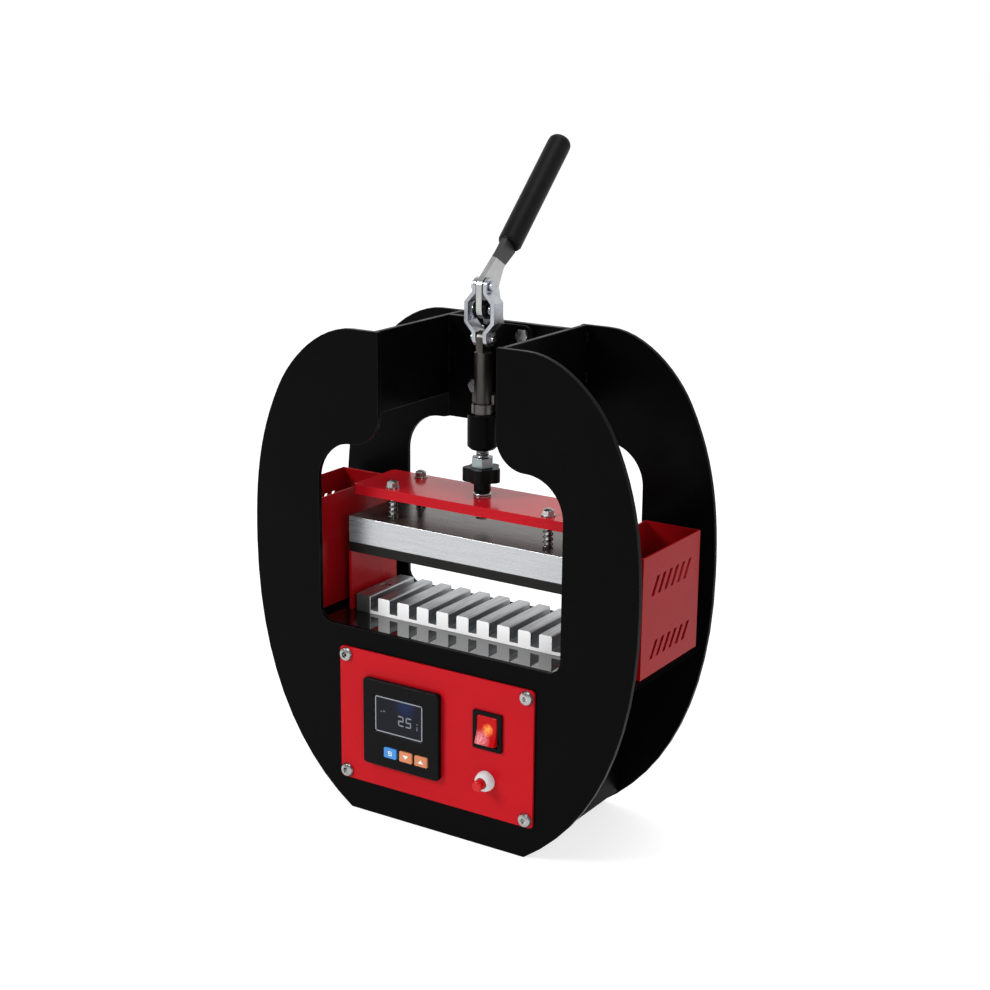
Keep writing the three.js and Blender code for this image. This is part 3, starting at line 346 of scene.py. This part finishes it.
# The lamp's bright spot and a pale patch from the middle of the rocker's frame, and their depth
LAMP_OFFSET = (1.2, 2.0)
PALE_OFFSET = (-3.8, -7.0)
LAMP_DEPTH = -6

# The patch of backlight from the middle of the window
BACKLIGHT_OFFSET = (6.3, 10.5)

# The clamp is bare metal above the first of these, and in front of its depth the ears are painted
# black as painted shade; its collar is below the second
CLAMP_ZINC_SHADE_EDGE = place(0, 70.6, 394)
CLAMP_COLLAR_EDGE = place(0, 0, 341.5)

# How far the tray's flanges reach past its last ribs, and the seam where the fronts' painted
# highlight gives way to the flanges' dark fronts
TRAY_FLANGE = 14
TRAY_SEAM = 1

# The edge of the grip's black dip: the grip's slope and the edge's own turn in degrees, how far
# the edge leans sideways, and a point on it
GRIP_SLOPE = 44.55
DIP_TURN = 16
DIP_LEAN = 0.25
DIP_EDGE = place(2.5, 89.2, 438.6)


def rocker_plastic():
    """Translucent red with a lamp glowing inside it, behind a finely ribbed lens."""
    paint = Paint("rocker_plastic", (0.5, 0.01, 0.01), roughness=0.16)
    centre = middle("rocker_frame")

    def cloudy_spot(offset, radius, cloud_size, faintest):
        x, z = offset
        spot = paint.spot(place(centre.x + x, LAMP_DEPTH, centre.z + z), core=0.5, radius=radius)
        noise = paint.noise(cloud_size, detail=3)
        cloud = paint.ranged(noise, low=faintest, high=1.2, start=0.35, end=0.65)
        return paint.calculated("MULTIPLY", spot, cloud)

    glow = cloudy_spot(LAMP_OFFSET, radius=5.5, cloud_size=2.2, faintest=0.4)
    pale = cloudy_spot(PALE_OFFSET, radius=9, cloud_size=1.4, faintest=0.3)
    red = paint.mixed(pale, (0.36, 0.002, 0.003), (0.7, 0.28, 0.32))
    color = paint.mixed(glow, red, (1.0, 0.3, 0.06))
    paint.feed("Base Color", color)
    paint.feed("Emission Color", color)
    paint.feed("Emission Strength", paint.ranged(glow, low=0.2, high=0.9))
    paint.set("Specular IOR Level", 0.1)
    paint.bump(paint.ridges("X", period=2.171, profile="SIN"), depth=0.05, strength=0.5)
    paint.bump(paint.noise(size=2.5, detail=1), depth=0.03, strength=0.3)
    return paint.material


def window_plastic():
    """A dark display window with a faint blue patch of its backlight."""
    paint = Paint("window_plastic", (0.006, 0.007, 0.01), roughness=0.12)
    paint.set("Specular IOR Level", 0.08)
    centre = middle("display_window")
    face = corners("display_window")[0].y
    x, z = BACKLIGHT_OFFSET
    patch = paint.spot(place(centre.x + x, face, centre.z + z), core=2, radius=11)
    paint.feed("Base Color", paint.mixed(patch, (0.008, 0.009, 0.013), (0.01, 0.018, 0.06)))
    paint.vary_roughness(size=15, low=0.08, high=0.16)
    paint.bump(paint.noise(size=12, detail=1), depth=0.02, strength=0.2)
    return paint.material


def clamp_finish():
    """Black paint on the clamp's flange, bare zinc on its ears with their front part painted black
    as painted shade, and oiled steel on its collar.
    """
    paint = Paint("clamp_finish", (0.5, 0.51, 0.53), roughness=0.26, metallic=1.0)
    zinc = paint.vary_color(size=9, amount=0.1)
    high = paint.stepped(paint.position_along("Z"), CLAMP_ZINC_SHADE_EDGE.z, blur=1)
    # the ears' zinc is painted black in front of this depth: painted shade
    behind = paint.stepped(paint.position_along("Y"), CLAMP_ZINC_SHADE_EDGE.y, blur=0.8)
    bare = paint.calculated("MULTIPLY", high, behind)
    above_collar = paint.stepped(paint.position_along("Z"), CLAMP_COLLAR_EDGE.z, blur=0.6)
    collar = paint.ranged(above_collar, low=1, high=0)
    dark = paint.mixed(collar, (0.003, 0.003, 0.0033), (0.1, 0.09, 0.085))
    paint.feed("Base Color", paint.mixed(bare, dark, zinc))
    paint.feed("Metallic", paint.calculated("MAXIMUM", bare, collar))
    paint.set("Specular IOR Level", 0.08)
    paint.vary_roughness(size=5, low=0.24, high=0.38)
    paint.bump(paint.noise(size=4, detail=2), depth=0.02, strength=0.25)
    return paint.material


def shelf_paint():
    """Black whose upper face mirrors the tray."""
    paint = Paint("shelf_gloss_black", (0.002, 0.002, 0.0022), roughness=0.06)
    paint.vary_roughness(size=30, low=0.04, high=0.1)
    paint.set("Specular IOR Level", 0)
    paint.feed("Coat Weight", paint.facing_mask("Z"))
    paint.set("Coat Roughness", 0.03)
    paint.set("Coat IOR", 2.1)
    paint.bump(paint.noise(size=6, detail=2), depth=0.012, strength=0.25)
    return paint.material


def block_metal():
    """Brushed aluminium whose top is painted a darker, patchy brown as painted shade under the
    pressure plate.
    """
    paint = Paint("block_metal", (0.43, 0.44, 0.455), roughness=0.26, metallic=0.7)
    brushing = (0.05, 1, 1)
    bright = paint.vary_color(size=1.6, amount=0.06, stretch=brushing)
    # the top is painted a darker, patchy brown: painted shade under the pressure plate
    top_patches = paint.patches(size=14, stretch=(0.3, 1, 1))
    shaded_top = paint.mixed(top_patches, (0.06, 0.048, 0.043), (0.1, 0.085, 0.078))
    paint.feed("Base Color", paint.mixed(paint.facing_mask("Z"), bright, shaded_top))
    paint.vary_roughness(size=0.8, low=0.24, high=0.34, stretch=brushing)
    paint.bump(paint.noise(0.35, brushing, detail=5), depth=0.0025, strength=0.5)
    return paint.material


def tray_metal():
    """Sawn aluminium, dull along its length, with its front faces painted white where ribs end as a
    painted highlight, and dark on the flanges' front faces.
    """
    paint = Paint("tray_metal", (0.43, 0.44, 0.45), roughness=0.4, metallic=1.0)
    sawing = (1, 0.06, 1)
    dull = paint.vary_color(size=2.2, amount=0.2, stretch=sawing)
    front = paint.facing_mask("Y", start=-0.6, end=-0.8)
    off_centre = paint.calculated("ABSOLUTE", paint.position_along("X"))
    seam = corners("pen_tray")[1].x - TRAY_FLANGE + TRAY_SEAM / 2
    flange = paint.stepped(off_centre, seam * MM, blur=TRAY_SEAM)
    # front faces painted white and not metallic: a painted highlight of the front light; the
    # flanges' front faces dark
    face = paint.mixed(flange, (1.0, 1.0, 1.0), (0.07, 0.07, 0.07))
    paint.feed("Base Color", paint.mixed(front, dull, face))
    paint.feed("Metallic", paint.ranged(front, low=1, high=0))
    paint.vary_roughness(size=1.2, low=0.3, high=0.5, stretch=sawing)
    paint.bump(paint.noise(0.5, sawing, detail=5), depth=0.02, strength=0.6)
    return paint.material


def dark_steel():
    """Polished and oiled, with dark streaks along its length."""
    paint = Paint("dark_steel", (0.07, 0.066, 0.061), roughness=0.36, metallic=1.0)
    paint.vary_color(size=2.5, amount=0.3, stretch=(1, 1, 0.06))
    paint.vary_roughness(size=3, low=0.3, high=0.45, stretch=(1, 1, 0.1))
    return paint.material


def threaded_steel():
    """Steel with ridges across its length, coarser than the real thread."""
    paint = Paint("spindle_thread", (0.5, 0.5, 0.5), roughness=0.3, metallic=1.0)
    paint.bump(paint.ridges("Z", period=2.961, profile="TRI"), depth=0.9)
    paint.vary_roughness(size=4, low=0.25, high=0.4)
    return paint.material


def dipped_bar():
    """Zinc on the bar, with the grip's black dip running down over its neck."""
    paint = Paint("dipped_bar", (0.43, 0.435, 0.43), roughness=0.34, metallic=1.0)
    zinc = paint.vary_color(size=9, amount=0.1)
    angle = math.radians(GRIP_SLOPE + DIP_TURN)
    direction = Vector((DIP_LEAN, math.cos(angle), math.sin(angle))).normalized()
    along = paint.node("ShaderNodeVectorMath", operation="DOT_PRODUCT")
    paint.link(paint.position(), along.inputs[0])
    along.inputs[1].default_value = direction
    dip = paint.stepped(along.outputs["Value"], DIP_EDGE.dot(direction), blur=0.6)
    paint.feed("Base Color", paint.mixed(dip, zinc, (0.012, 0.012, 0.013)))
    paint.feed("Metallic", paint.ranged(dip, low=1, high=0))
    paint.feed("Roughness", paint.ranged(dip, low=0.32, high=0.5))
    paint.bump(paint.noise(size=1.2, detail=3), depth=0.02, strength=0.4)
    return paint.material


# The finish of every slot, apart from the nodes that have a finish of their own
MATERIALS = {
    "black_powder_coat": powder_coat(),
    "black_gloss_paint": shelf_paint(),
    "red_gloss_paint": gloss_paint("red_gloss_paint", (0.42, 0.005, 0.01), 0.2, specular=0.07),
    "black_plastic": moulded("black_plastic", (0.003, 0.003, 0.0033), 0.3, specular=0.06),
    "dark_window": window_plastic(),
    "blue_key": moulded("blue_key", (0.05, 0.22, 0.55), 0.4, specular=0.2),
    "orange_key": moulded("orange_key", (0.55, 0.2, 0.09), 0.4, specular=0.2),
    "red_rocker": rocker_plastic(),
    "white_collar": moulded("white_collar", (0.62, 0.62, 0.63), 0.3, specular=0.3),
    "red_cap": moulded("red_cap", (0.5, 0.006, 0.008), 0.2, specular=0.25),
    "dark_coating": moulded(
        "dark_coating", (0.006, 0.0055, 0.005), 0.42, specular=0.15, grain=0.7, depth=0.03,
    ),
    "black_rubber": moulded(
        "black_rubber", (0.004, 0.004, 0.0045), 0.42, specular=0.08, grain=1.6, depth=0.07,
    ),
    "zinc_plate": plated("zinc_plate", (0.42, 0.44, 0.47), 0.3),
    "steel": plated("steel", (0.36, 0.36, 0.36), 0.26),
}

# a darker copy of the red gloss paint: painted shade on the baskets inside the press
SHADED_BASKET_PAINT = gloss_paint("shaded_basket_paint", (0.24, 0.003, 0.005), 0.22, specular=0.07)

# The nodes that have a finish of their own
OWN_MATERIALS = {
    "clamp_body": clamp_finish(),
    "handle_bar": dipped_bar(),
    "heater_block": block_metal(),
    "left_basket": SHADED_BASKET_PAINT,
    "lock_nut": plated("passivated_zinc", (0.26, 0.3, 0.31), 0.3),
    "pen_tray": tray_metal(),
    "plunger_rod": dark_steel(),
    "pressure_plate": gloss_paint("red_plate_paint", (0.4, 0.006, 0.012), 0.2, 0.06, mirror=0.28),
    "right_basket": SHADED_BASKET_PAINT,
    "spindle": threaded_steel(),
}


# Making pieces

SMOOTH_ANGLE = 38
WIRE_SIDES = 10
TURNED_SIDES = 32


def linked(name, data, material, body):
    piece = bpy.data.objects.new(name, data)
    bpy.context.scene.collection.objects.link(piece)
    data.materials.clear()
    data.materials.append(material)
    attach(piece, body)
    return piece


def smoothed(data):
    data.shade_smooth()
    data.set_sharp_from_angle(angle=math.radians(SMOOTH_ANGLE))
    return data


def round_edges(piece, width, segments, angle):
    bevel = piece.modifiers.new("edges", "BEVEL")
    bevel.limit_method = "ANGLE"
    bevel.angle_limit = math.radians(angle)
    bevel.width = width * MM
    bevel.segments = segments


def solid_from(name, points, faces, material, body):
    data = bpy.data.meshes.new(name)
    data.from_pydata([tuple(point) for point in points], [], faces)
    data.validate()
    work = bmesh.new()
    work.from_mesh(data)
    bmesh.ops.recalc_face_normals(work, faces=work.faces)
    work.to_mesh(data)
    work.free()
    return linked(name, smoothed(data), material, body)


def solid_from_rings(name, rings, material, body):
    """Rings with the same number of points, joined one after another and closed at both ends."""
    sides = len(rings[0])
    last = (len(rings) - 1) * sides
    faces = []
    for start in range(0, last, sides):
        for k in range(sides):
            a, b = start + k, start + (k + 1) % sides
            faces.append((a, b, b + sides, a + sides))
    faces.append(tuple(range(sides - 1, -1, -1)))
    faces.append(tuple(range(last, last + sides)))
    points = [point for ring in rings for point in ring]
    return solid_from(name, points, faces, material, body)


def ring_about(centre, side, other, radius, sides):
    """Points round a centre, in the plane of two directions square to each other."""
    angles = [2 * math.pi * k / sides for k in range(sides)]
    return [
        centre + (side * math.cos(angle) + other * math.sin(angle)) * radius * MM
        for angle in angles
    ]


def turned(name, profile, centre, axis, material, sides=TURNED_SIDES):
    """A profile of (radius, height), turned about an axis through a point on the frame."""
    axis = Vector(axis)
    side = axis.orthogonal().normalized()
    other = axis.cross(side)
    rings = [
        ring_about(centre + axis * height * MM, side, other, radius, sides)
        for radius, height in profile
    ]
    return solid_from_rings(name, rings, material, "frame")


def swept(name, path, radius, material, body):
    """A round wire of this radius along a list of points."""
    rings = []
    side = (path[1] - path[0]).orthogonal().normalized()
    for i, point in enumerate(path):
        ahead = (path[min(i + 1, len(path) - 1)] - path[max(i - 1, 0)]).normalized()
        side = (side - ahead * side.dot(ahead)).normalized()
        rings.append(ring_about(point, side, ahead.cross(side), radius, WIRE_SIDES))
    return solid_from_rings(name, rings, material, body)


def blocks(name, outlines, front, rear, material, body="frame"):
    """Blocks with outlines of (x0, z0, x1, z1), all from one depth to another."""
    points, faces = [], []
    for x0, z0, x1, z1 in outlines:
        ring = [len(points) + k for k in range(4)]
        back = [k + 4 for k in ring]
        for y in (front, rear):
            points += [place(x0, y, z0), place(x1, y, z0), place(x1, y, z1), place(x0, y, z1)]
        faces += [tuple(ring), tuple(reversed(back))]
        faces += [(ring[k], back[k], back[(k + 1) % 4], ring[(k + 1) % 4]) for k in range(4)]
    return solid_from(name, points, faces, material, body)


# Surfaces of the solids, with rounded edges

# Corners nearer than this are merged, and so are faces that meet at less than this angle
MERGE_DISTANCE = 0.002
FLAT_ANGLE = 0.8

# The width and segments of a rounded edge, and the angle from which an edge is rounded
COMMON_EDGES = (0.35, 2, 40)
NODES_WITH_EDGES = {
    (0.2, 2, 30): ("display_window",),
    (0.2, 2, 40): ("spindle",),
    (0.3, 2, 30): ("lower_cover",),
    (0.3, 2, 40): ("handle_grip", "left_basket_strip", "plunger_rod", "right_basket_strip"),
    (0.3, 3, 40): ("button_collar",),
    (0.35, 3, 50): ("down_key", "set_key", "up_key"),
    (0.4, 2, 30): ("clamp_mount_plate", "left_rib", "right_rib", "shelf"),
    (0.4, 2, 40): ("clamp_barrel", "pivot_pin", "power_inlet", "spindle_nut"),
    (0.4, 3, 40): ("button_cap",),
    (0.45, 2, 30): ("front_plate", "rear_plate"),
    (0.45, 3, 30): ("control_panel",),
    (0.5, 2, 30): ("handle_bar",),
    (0.5, 2, 40): (
        "clamp_body", "controller_case", "heat_platen", "heater_block", "link_pin", "lock_nut",
    ),
    (0.5, 3, 30): ("left_link", "right_link"),
    (0.5, 3, 40): ("rocker_frame",),
    (0.6, 3, 40): ("left_basket", "right_basket"),
    (0.7, 3, 20): ("rocker_key",),
    (0.8, 3, 40): ("pressure_plate",),
    (0.9, 3, 40): ("adjusting_knob", "controller_bezel"),
}
EDGES_OF = {node: edges for edges, nodes in NODES_WITH_EDGES.items() for node in nodes}


def refined_mesh(node, width, segments, angle):
    """The node's faces merged into flat polygons, with its sharp edges rounded."""
    work = bmesh.new()
    work.from_mesh(NODES[node].data)
    bmesh.ops.remove_doubles(work, verts=work.verts, dist=MERGE_DISTANCE * MM)
    bmesh.ops.dissolve_limit(
        work, angle_limit=math.radians(FLAT_ANGLE), verts=work.verts, edges=work.edges,
    )
    data = bpy.data.meshes.new(node + "_surface")
    work.to_mesh(data)
    work.free()
    carrier = bpy.data.objects.new(node + "_carrier", data)
    bpy.context.scene.collection.objects.link(carrier)
    round_edges(carrier, width, segments, angle)
    bpy.context.view_layer.update()
    graph = bpy.context.evaluated_depsgraph_get()
    made = bpy.data.meshes.new_from_object(carrier.evaluated_get(graph))
    bpy.data.objects.remove(carrier)
    made.name = node + "_surface"
    return made


def refine(node):
    data = smoothed(refined_mesh(node, *EDGES_OF.get(node, COMMON_EDGES)))
    slot = SLOT_OF[node]
    material = OWN_MATERIALS[node] if node in OWN_MATERIALS else MATERIALS[slot]
    piece = linked(node + "_surface", data, material, BODY_OF[node])
    weighted = piece.modifiers.new("normals", "WEIGHTED_NORMAL")
    weighted.keep_sharp = True
    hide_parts(node)


# Head springs, wound finer than their solids

SPRING_RADIUS = 3.55
SPRING_WIRE_RADIUS = 0.62
SPRING_TURNS = 4
SPRING_FLAT_TURNS = 0.5
SPRING_STEPS = 28


def add_spring(node, material):
    """A coil with a flat half turn at each end."""
    low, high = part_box(node)
    centre = (low + high) / 2
    bottom = low.z + SPRING_WIRE_RADIUS * MM
    top = high.z - SPRING_WIRE_RADIUS * MM
    steps = int((SPRING_TURNS + 2 * SPRING_FLAT_TURNS) * SPRING_STEPS)
    path = []
    for i in range(steps + 1):
        turns = i / SPRING_STEPS
        angle = 2 * math.pi * turns
        share = min(max((turns - SPRING_FLAT_TURNS) / SPRING_TURNS, 0), 1)
        out = Vector((math.cos(angle), math.sin(angle), 0)) * SPRING_RADIUS * MM
        path.append(Vector((centre.x, centre.y, bottom + (top - bottom) * share)) + out)
    piece = swept(node + "_wire", path, SPRING_WIRE_RADIUS, material, BODY_OF[node])
    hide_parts(node)
    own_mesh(piece)


def dress_nodes():
    wire = plated("spring_wire", (0.14, 0.14, 0.14), 0.3)
    for node in sorted(NODES):
        if node.endswith("_head_spring"):
            add_spring(node, wire)
        else:
            refine(node)


# Display and keys

# How far signs stand out of a face, and how far they reach into it
DIGITS_PROUD = 0.06
RIM_PROUD = 0.08
KEY_SIGN_PROUD = 0.05
SIGN_SUNK = 0.02

SHOWN_NUMBER = "25"
BARS_OF_DIGIT = {"2": "abged", "5": "afgcd"}

# The first digit and the marks, from the window's lower left corner
DIGIT_X = 22.5
DIGIT_Z = 9
DIGIT_STEP = 7.2
DIGIT_WIDTH = 5.2
DIGIT_HEIGHT = 8.6
DIGIT_STROKE = 1.05
MARKS = [(5.5, 17, 7, 18), (8, 17.6, 10, 18.8), (40, 8.5, 41, 12), (40, 13.5, 41.4, 14.4)]

RIM_WIDTH = 0.9
RIM_INSET = 0.3

# Bars about the middle of a key: a stepped letter and an arrow
LETTER_SIGN = [
    (-1.8, 1.2, 1.8, 1.8), (-1.8, -0.3, 1.8, 0.3), (-1.8, -1.8, 1.8, -1.2),
    (-1.8, 0.3, -1.2, 1.2), (1.2, -1.2, 1.8, -0.3),
]
DOWN_SIGN = [
    (-2.4, 0.9, 2.4, 1.6), (-1.6, 0.2, 1.6, 0.9), (-0.9, -0.5, 0.9, 0.2),
    (-0.35, -1.3, 0.35, -0.5),
]
UP_SIGN = [(x0, -z1, x1, -z0) for x0, z0, x1, z1 in DOWN_SIGN]
KEY_SIGNS = {"set_key": LETTER_SIGN, "down_key": DOWN_SIGN, "up_key": UP_SIGN}


def moved(bars, x, z):
    return [(x + x0, z + z0, x + x1, z + z1) for x0, z0, x1, z1 in bars]


def digit_bars(digit):
    """The lit bars of a seven-segment digit, from its lower left corner."""
    width = DIGIT_WIDTH
    height = DIGIT_HEIGHT
    half = height / 2
    stroke = DIGIT_STROKE
    bars = {
        "a": (0, height - stroke, width, height),
        "b": (width - stroke, half, width, height),
        "c": (width - stroke, 0, width, half),
        "d": (0, 0, width, stroke),
        "e": (0, 0, stroke, half),
        "f": (0, half, stroke, height),
        "g": (0, half - stroke / 2, width, half + stroke / 2),
    }
    return [bars[name] for name in BARS_OF_DIGIT[digit]]


def add_display():
    low, high = corners("display_window")
    lit = glowing("display_digits", (0.14, 0.16, 0.19), strength=0.25)
    faint = glowing("display_marks", (0.06, 0.065, 0.08), strength=0.35)
    pale = moulded("display_rim", (0.24, 0.26, 0.29), 0.4, specular=0.2)
    rear = low.y + SIGN_SUNK

    bars = []
    for i, digit in enumerate(SHOWN_NUMBER):
        bars += moved(digit_bars(digit), low.x + DIGIT_X + i * DIGIT_STEP, low.z + DIGIT_Z)
    blocks("display_digits", bars, low.y - DIGITS_PROUD, rear, lit)

    marks = moved(MARKS, low.x, low.z)
    blocks("display_marks", marks, low.y - DIGITS_PROUD, rear, faint)

    x0, x1 = low.x + RIM_INSET, high.x - RIM_INSET
    z0, z1 = low.z + RIM_INSET, high.z - RIM_INSET
    rim = [
        (x0, z0, x1, z0 + RIM_WIDTH), (x0, z1 - RIM_WIDTH, x1, z1),
        (x0, z0, x0 + RIM_WIDTH, z1), (x1 - RIM_WIDTH, z0, x1, z1),
    ]
    blocks("display_rim", rim, low.y - RIM_PROUD, rear, pale)


def add_key_signs():
    pale = moulded("key_sign", (0.75, 0.78, 0.8), 0.5, specular=0.2)
    for node, sign in KEY_SIGNS.items():
        face = corners(node)[0].y
        centre = middle(node)
        bars = moved(sign, centre.x, centre.z)
        front, rear = face - KEY_SIGN_PROUD, face + SIGN_SUNK
        blocks(node + "_sign", bars, front, rear, pale, BODY_OF[node])


# Welds

WELD_LENGTH = 7
WELD_RADIUS = 1.3
WELD_LUMP = 0.25
WELD_STEPS = 9
WELD_OFF_FACE = 0.6
WELD_HEIGHTS = (352, 384)


def add_weld(name, centre, seed):
    """A short lumpy bead up a corner."""
    chance = Random(seed)
    path = []
    for i in range(WELD_STEPS):
        share = i / (WELD_STEPS - 1) - 0.5
        lump = Vector((chance.uniform(-1, 1), chance.uniform(-1, 1), 0)) * WELD_LUMP * MM
        path.append(centre + Vector((0, 0, WELD_LENGTH * share)) * MM + lump)
    coat = "black_powder_coat"
    swept(name, path, WELD_RADIUS, MATERIALS[coat], "frame")


def add_welds():
    """Beads where the ribs meet both faces of the mount plate, and behind it the rear plate."""
    rib_low, rib_high = corners("right_rib")
    mount_low, mount_high = corners("clamp_mount_plate")
    inner = rib_low.x - WELD_OFF_FACE
    outer = rib_high.x + WELD_OFF_FACE
    before_rear_plate = corners("rear_plate")[0].y - WELD_OFF_FACE
    places = [
        (inner, mount_low.y - WELD_OFF_FACE),
        (inner, mount_high.y + WELD_OFF_FACE),
        (outer, before_rear_plate),
    ]
    count = 0
    for side in (-1, 1):
        for z in WELD_HEIGHTS:
            for x, y in places:
                count += 1
                add_weld(f"weld_{count}", place(side * x, y, z), seed=count)


# Nuts, small screws and sheets that the solids leave out

NUT_WIDTH = 10
NUT_HEIGHT = 5

# A nut's end faces as a share of its width over flats, and its chamfers as a share of its height
NUT_END_SHARE = 0.94
NUT_CHAMFER_SHARE = 0.14

# Domed heads as (radius, height)
BASKET_SCREW = [(0.05, 2.2), (1.4, 2.1), (2.8, 1.6), (3.6, 0.7), (3.8, 0)]
INLET_SCREW = [(0.05, 1.6), (1.6, 1.5), (2.6, 1.0), (3.0, 0)]

BASKET_SHEET = 1.5
BASKET_SCREW_DEPTHS = (37, 87)

# The end guards are sheets that stand on the shelf from the tray's front face backward
GUARD_X = 108
GUARD_SHEET = 2.5
GUARD_REAR = 99.5
GUARD_TOP = 207
GUARD_EDGE = 0.2

# The inlet's pins and screws, from the middle of its width
PIN_SPREAD = 6
PIN_WIDTH = 2
PIN_HEIGHT = 4
PIN_Z = 60
EARTH_PIN_Z = 64
PIN_FRONT = 110.7
PIN_REAR = 123.7
INLET_SCREW_SPREAD = 20.5
INLET_SCREW_Y = 127.7
INLET_SCREW_Z = 62


def add_clamp_nuts():
    corner = NUT_WIDTH / math.sqrt(3)
    end = NUT_WIDTH / 2 * NUT_END_SHARE
    chamfer = NUT_HEIGHT * NUT_CHAMFER_SHARE
    profile = [(end, 0), (corner, chamfer), (corner, NUT_HEIGHT - chamfer), (end, NUT_HEIGHT)]
    rear = corners("clamp_mount_plate")[1].y
    zinc = MATERIALS["zinc_plate"]
    for i, where in enumerate(("lower_left", "lower_right", "upper_right", "upper_left")):
        bolt = middle(where + "_clamp_bolt")
        spot = place(bolt.x, rear, bolt.z)
        turned(f"clamp_nut_{i + 1}", profile, spot, (0, 1, 0), zinc, sides=6)


def add_basket_screws():
    steel = MATERIALS["steel"]
    count = 0
    for node in ("left_basket", "right_basket"):
        x = middle(node).x
        floor_top = corners(node)[0].z + BASKET_SHEET
        for y in BASKET_SCREW_DEPTHS:
            count += 1
            spot = place(x, y, floor_top)
            turned(f"basket_screw_{count}", BASKET_SCREW, spot, (0, 0, 1), steel)


def add_end_guards():
    """Upright sheets on the shelf, one beside each end of the tray."""
    paint = gloss_paint("guard_paint", (0.38, 0.006, 0.01), 0.25, specular=0.1)
    front = corners("pen_tray")[0].y
    bottom = corners("shelf")[1].z
    for name, side in (("left_end_guard", -1), ("right_end_guard", 1)):
        outline = (side * GUARD_X, bottom, side * (GUARD_X + GUARD_SHEET), GUARD_TOP)
        guard = blocks(name, [outline], front, GUARD_REAR, paint)
        round_edges(guard, GUARD_EDGE, segments=2, angle=30)


def add_inlet_details():
    x = middle("power_inlet").x
    pins = []
    for shift, z in ((-PIN_SPREAD, PIN_Z), (0, EARTH_PIN_Z), (PIN_SPREAD, PIN_Z)):
        left = x + shift - PIN_WIDTH / 2
        pins.append((left, z, left + PIN_WIDTH, z + PIN_HEIGHT))
    blocks("inlet_pins", pins, PIN_FRONT, PIN_REAR, MATERIALS["zinc_plate"])
    steel = MATERIALS["steel"]
    for i, shift in enumerate((-INLET_SCREW_SPREAD, INLET_SCREW_SPREAD)):
        spot = place(x + shift, INLET_SCREW_Y, INLET_SCREW_Z)
        turned(f"inlet_screw_{i + 1}", INLET_SCREW, spot, (0, 1, 0), steel)


# Studio, in metres

FLOOR_REACH = 40
FLOOR_GLOW = 0.72

# The world's strength before and behind the press, and how far either way the change reaches
WORLD_BEFORE = 0.17
WORLD_BEHIND = 1.05
WORLD_CHANGE = 0.5

# Each light's place, the point it looks at, its size and its power in watts
LIGHTS = {
    "key_light": ((-1.3, -1.7, 1.5), (0, 0, 0.2), (0.8, 0.8), 46),
    "fill_light": ((1.7, -1.5, 0.9), (0, 0, 0.25), (0.6, 0.9), 12),
    "top_light": ((0.2, 0.1, 2.0), (0, 0, 0.2), (1.4, 1.0), 16),
}


def add_floor():
    data = bpy.data.meshes.new("floor")
    reach = FLOOR_REACH
    square = [(-reach, -reach, 0), (reach, -reach, 0), (reach, reach, 0), (-reach, reach, 0)]
    data.from_pydata(square, [], [(0, 1, 2, 3)])
    floor = bpy.data.objects.new("floor", data)
    bpy.context.scene.collection.objects.link(floor)
    paint = Paint("floor", (0.42, 0.42, 0.42), roughness=0.8)
    paint.vary_roughness(size=300, low=0.75, high=0.85)
    paint.set("Specular IOR Level", 0.1)
    paint.set("Emission Strength", FLOOR_GLOW)
    paint.set("Emission Color", (1, 1, 1, 1))
    data.materials.append(paint.material)


def add_world():
    """White as a backdrop. As light it is dim before the press, so that dark paint stays dark."""
    world = bpy.data.worlds.new("studio")
    world.use_nodes = True
    nodes, links = world.node_tree.nodes, world.node_tree.links
    background = nodes["Background"]
    background.inputs["Color"].default_value = (1, 1, 1, 1)
    direction = nodes.new("ShaderNodeTexCoord")
    parts = nodes.new("ShaderNodeSeparateXYZ")
    links.new(direction.outputs["Generated"], parts.inputs["Vector"])
    ramp = nodes.new("ShaderNodeMapRange")
    ramp.interpolation_type = "SMOOTHSTEP"
    ramp.inputs["From Min"].default_value = -WORLD_CHANGE
    ramp.inputs["From Max"].default_value = WORLD_CHANGE
    ramp.inputs["To Min"].default_value = WORLD_BEFORE
    ramp.inputs["To Max"].default_value = WORLD_BEHIND
    links.new(parts.outputs["Y"], ramp.inputs["Value"])
    path = nodes.new("ShaderNodeLightPath")
    strength = nodes.new("ShaderNodeMath")
    strength.operation = "MAXIMUM"
    links.new(ramp.outputs["Result"], strength.inputs[0])
    links.new(path.outputs["Is Camera Ray"], strength.inputs[1])
    links.new(strength.outputs["Value"], background.inputs["Strength"])
    bpy.context.scene.world = world


def add_lights():
    for name, (location, target, size, power) in LIGHTS.items():
        light = bpy.data.lights.new(name, "AREA")
        light.shape = "RECTANGLE"
        light.size, light.size_y = size
        light.energy = power
        lamp = bpy.data.objects.new(name, light)
        lamp.location = location
        lamp.rotation_mode = "QUATERNION"
        lamp.rotation_quaternion = (Vector(target) - Vector(location)).to_track_quat("-Z", "Y")
        bpy.context.scene.collection.objects.link(lamp)


add_camera()
add_floor()
add_world()
add_lights()
bpy.context.scene.view_settings.view_transform = "Standard"
dress_nodes()
add_display()
add_key_signs()
add_welds()
add_clamp_nuts()
add_basket_screws()
add_end_guards()
add_inlet_details()
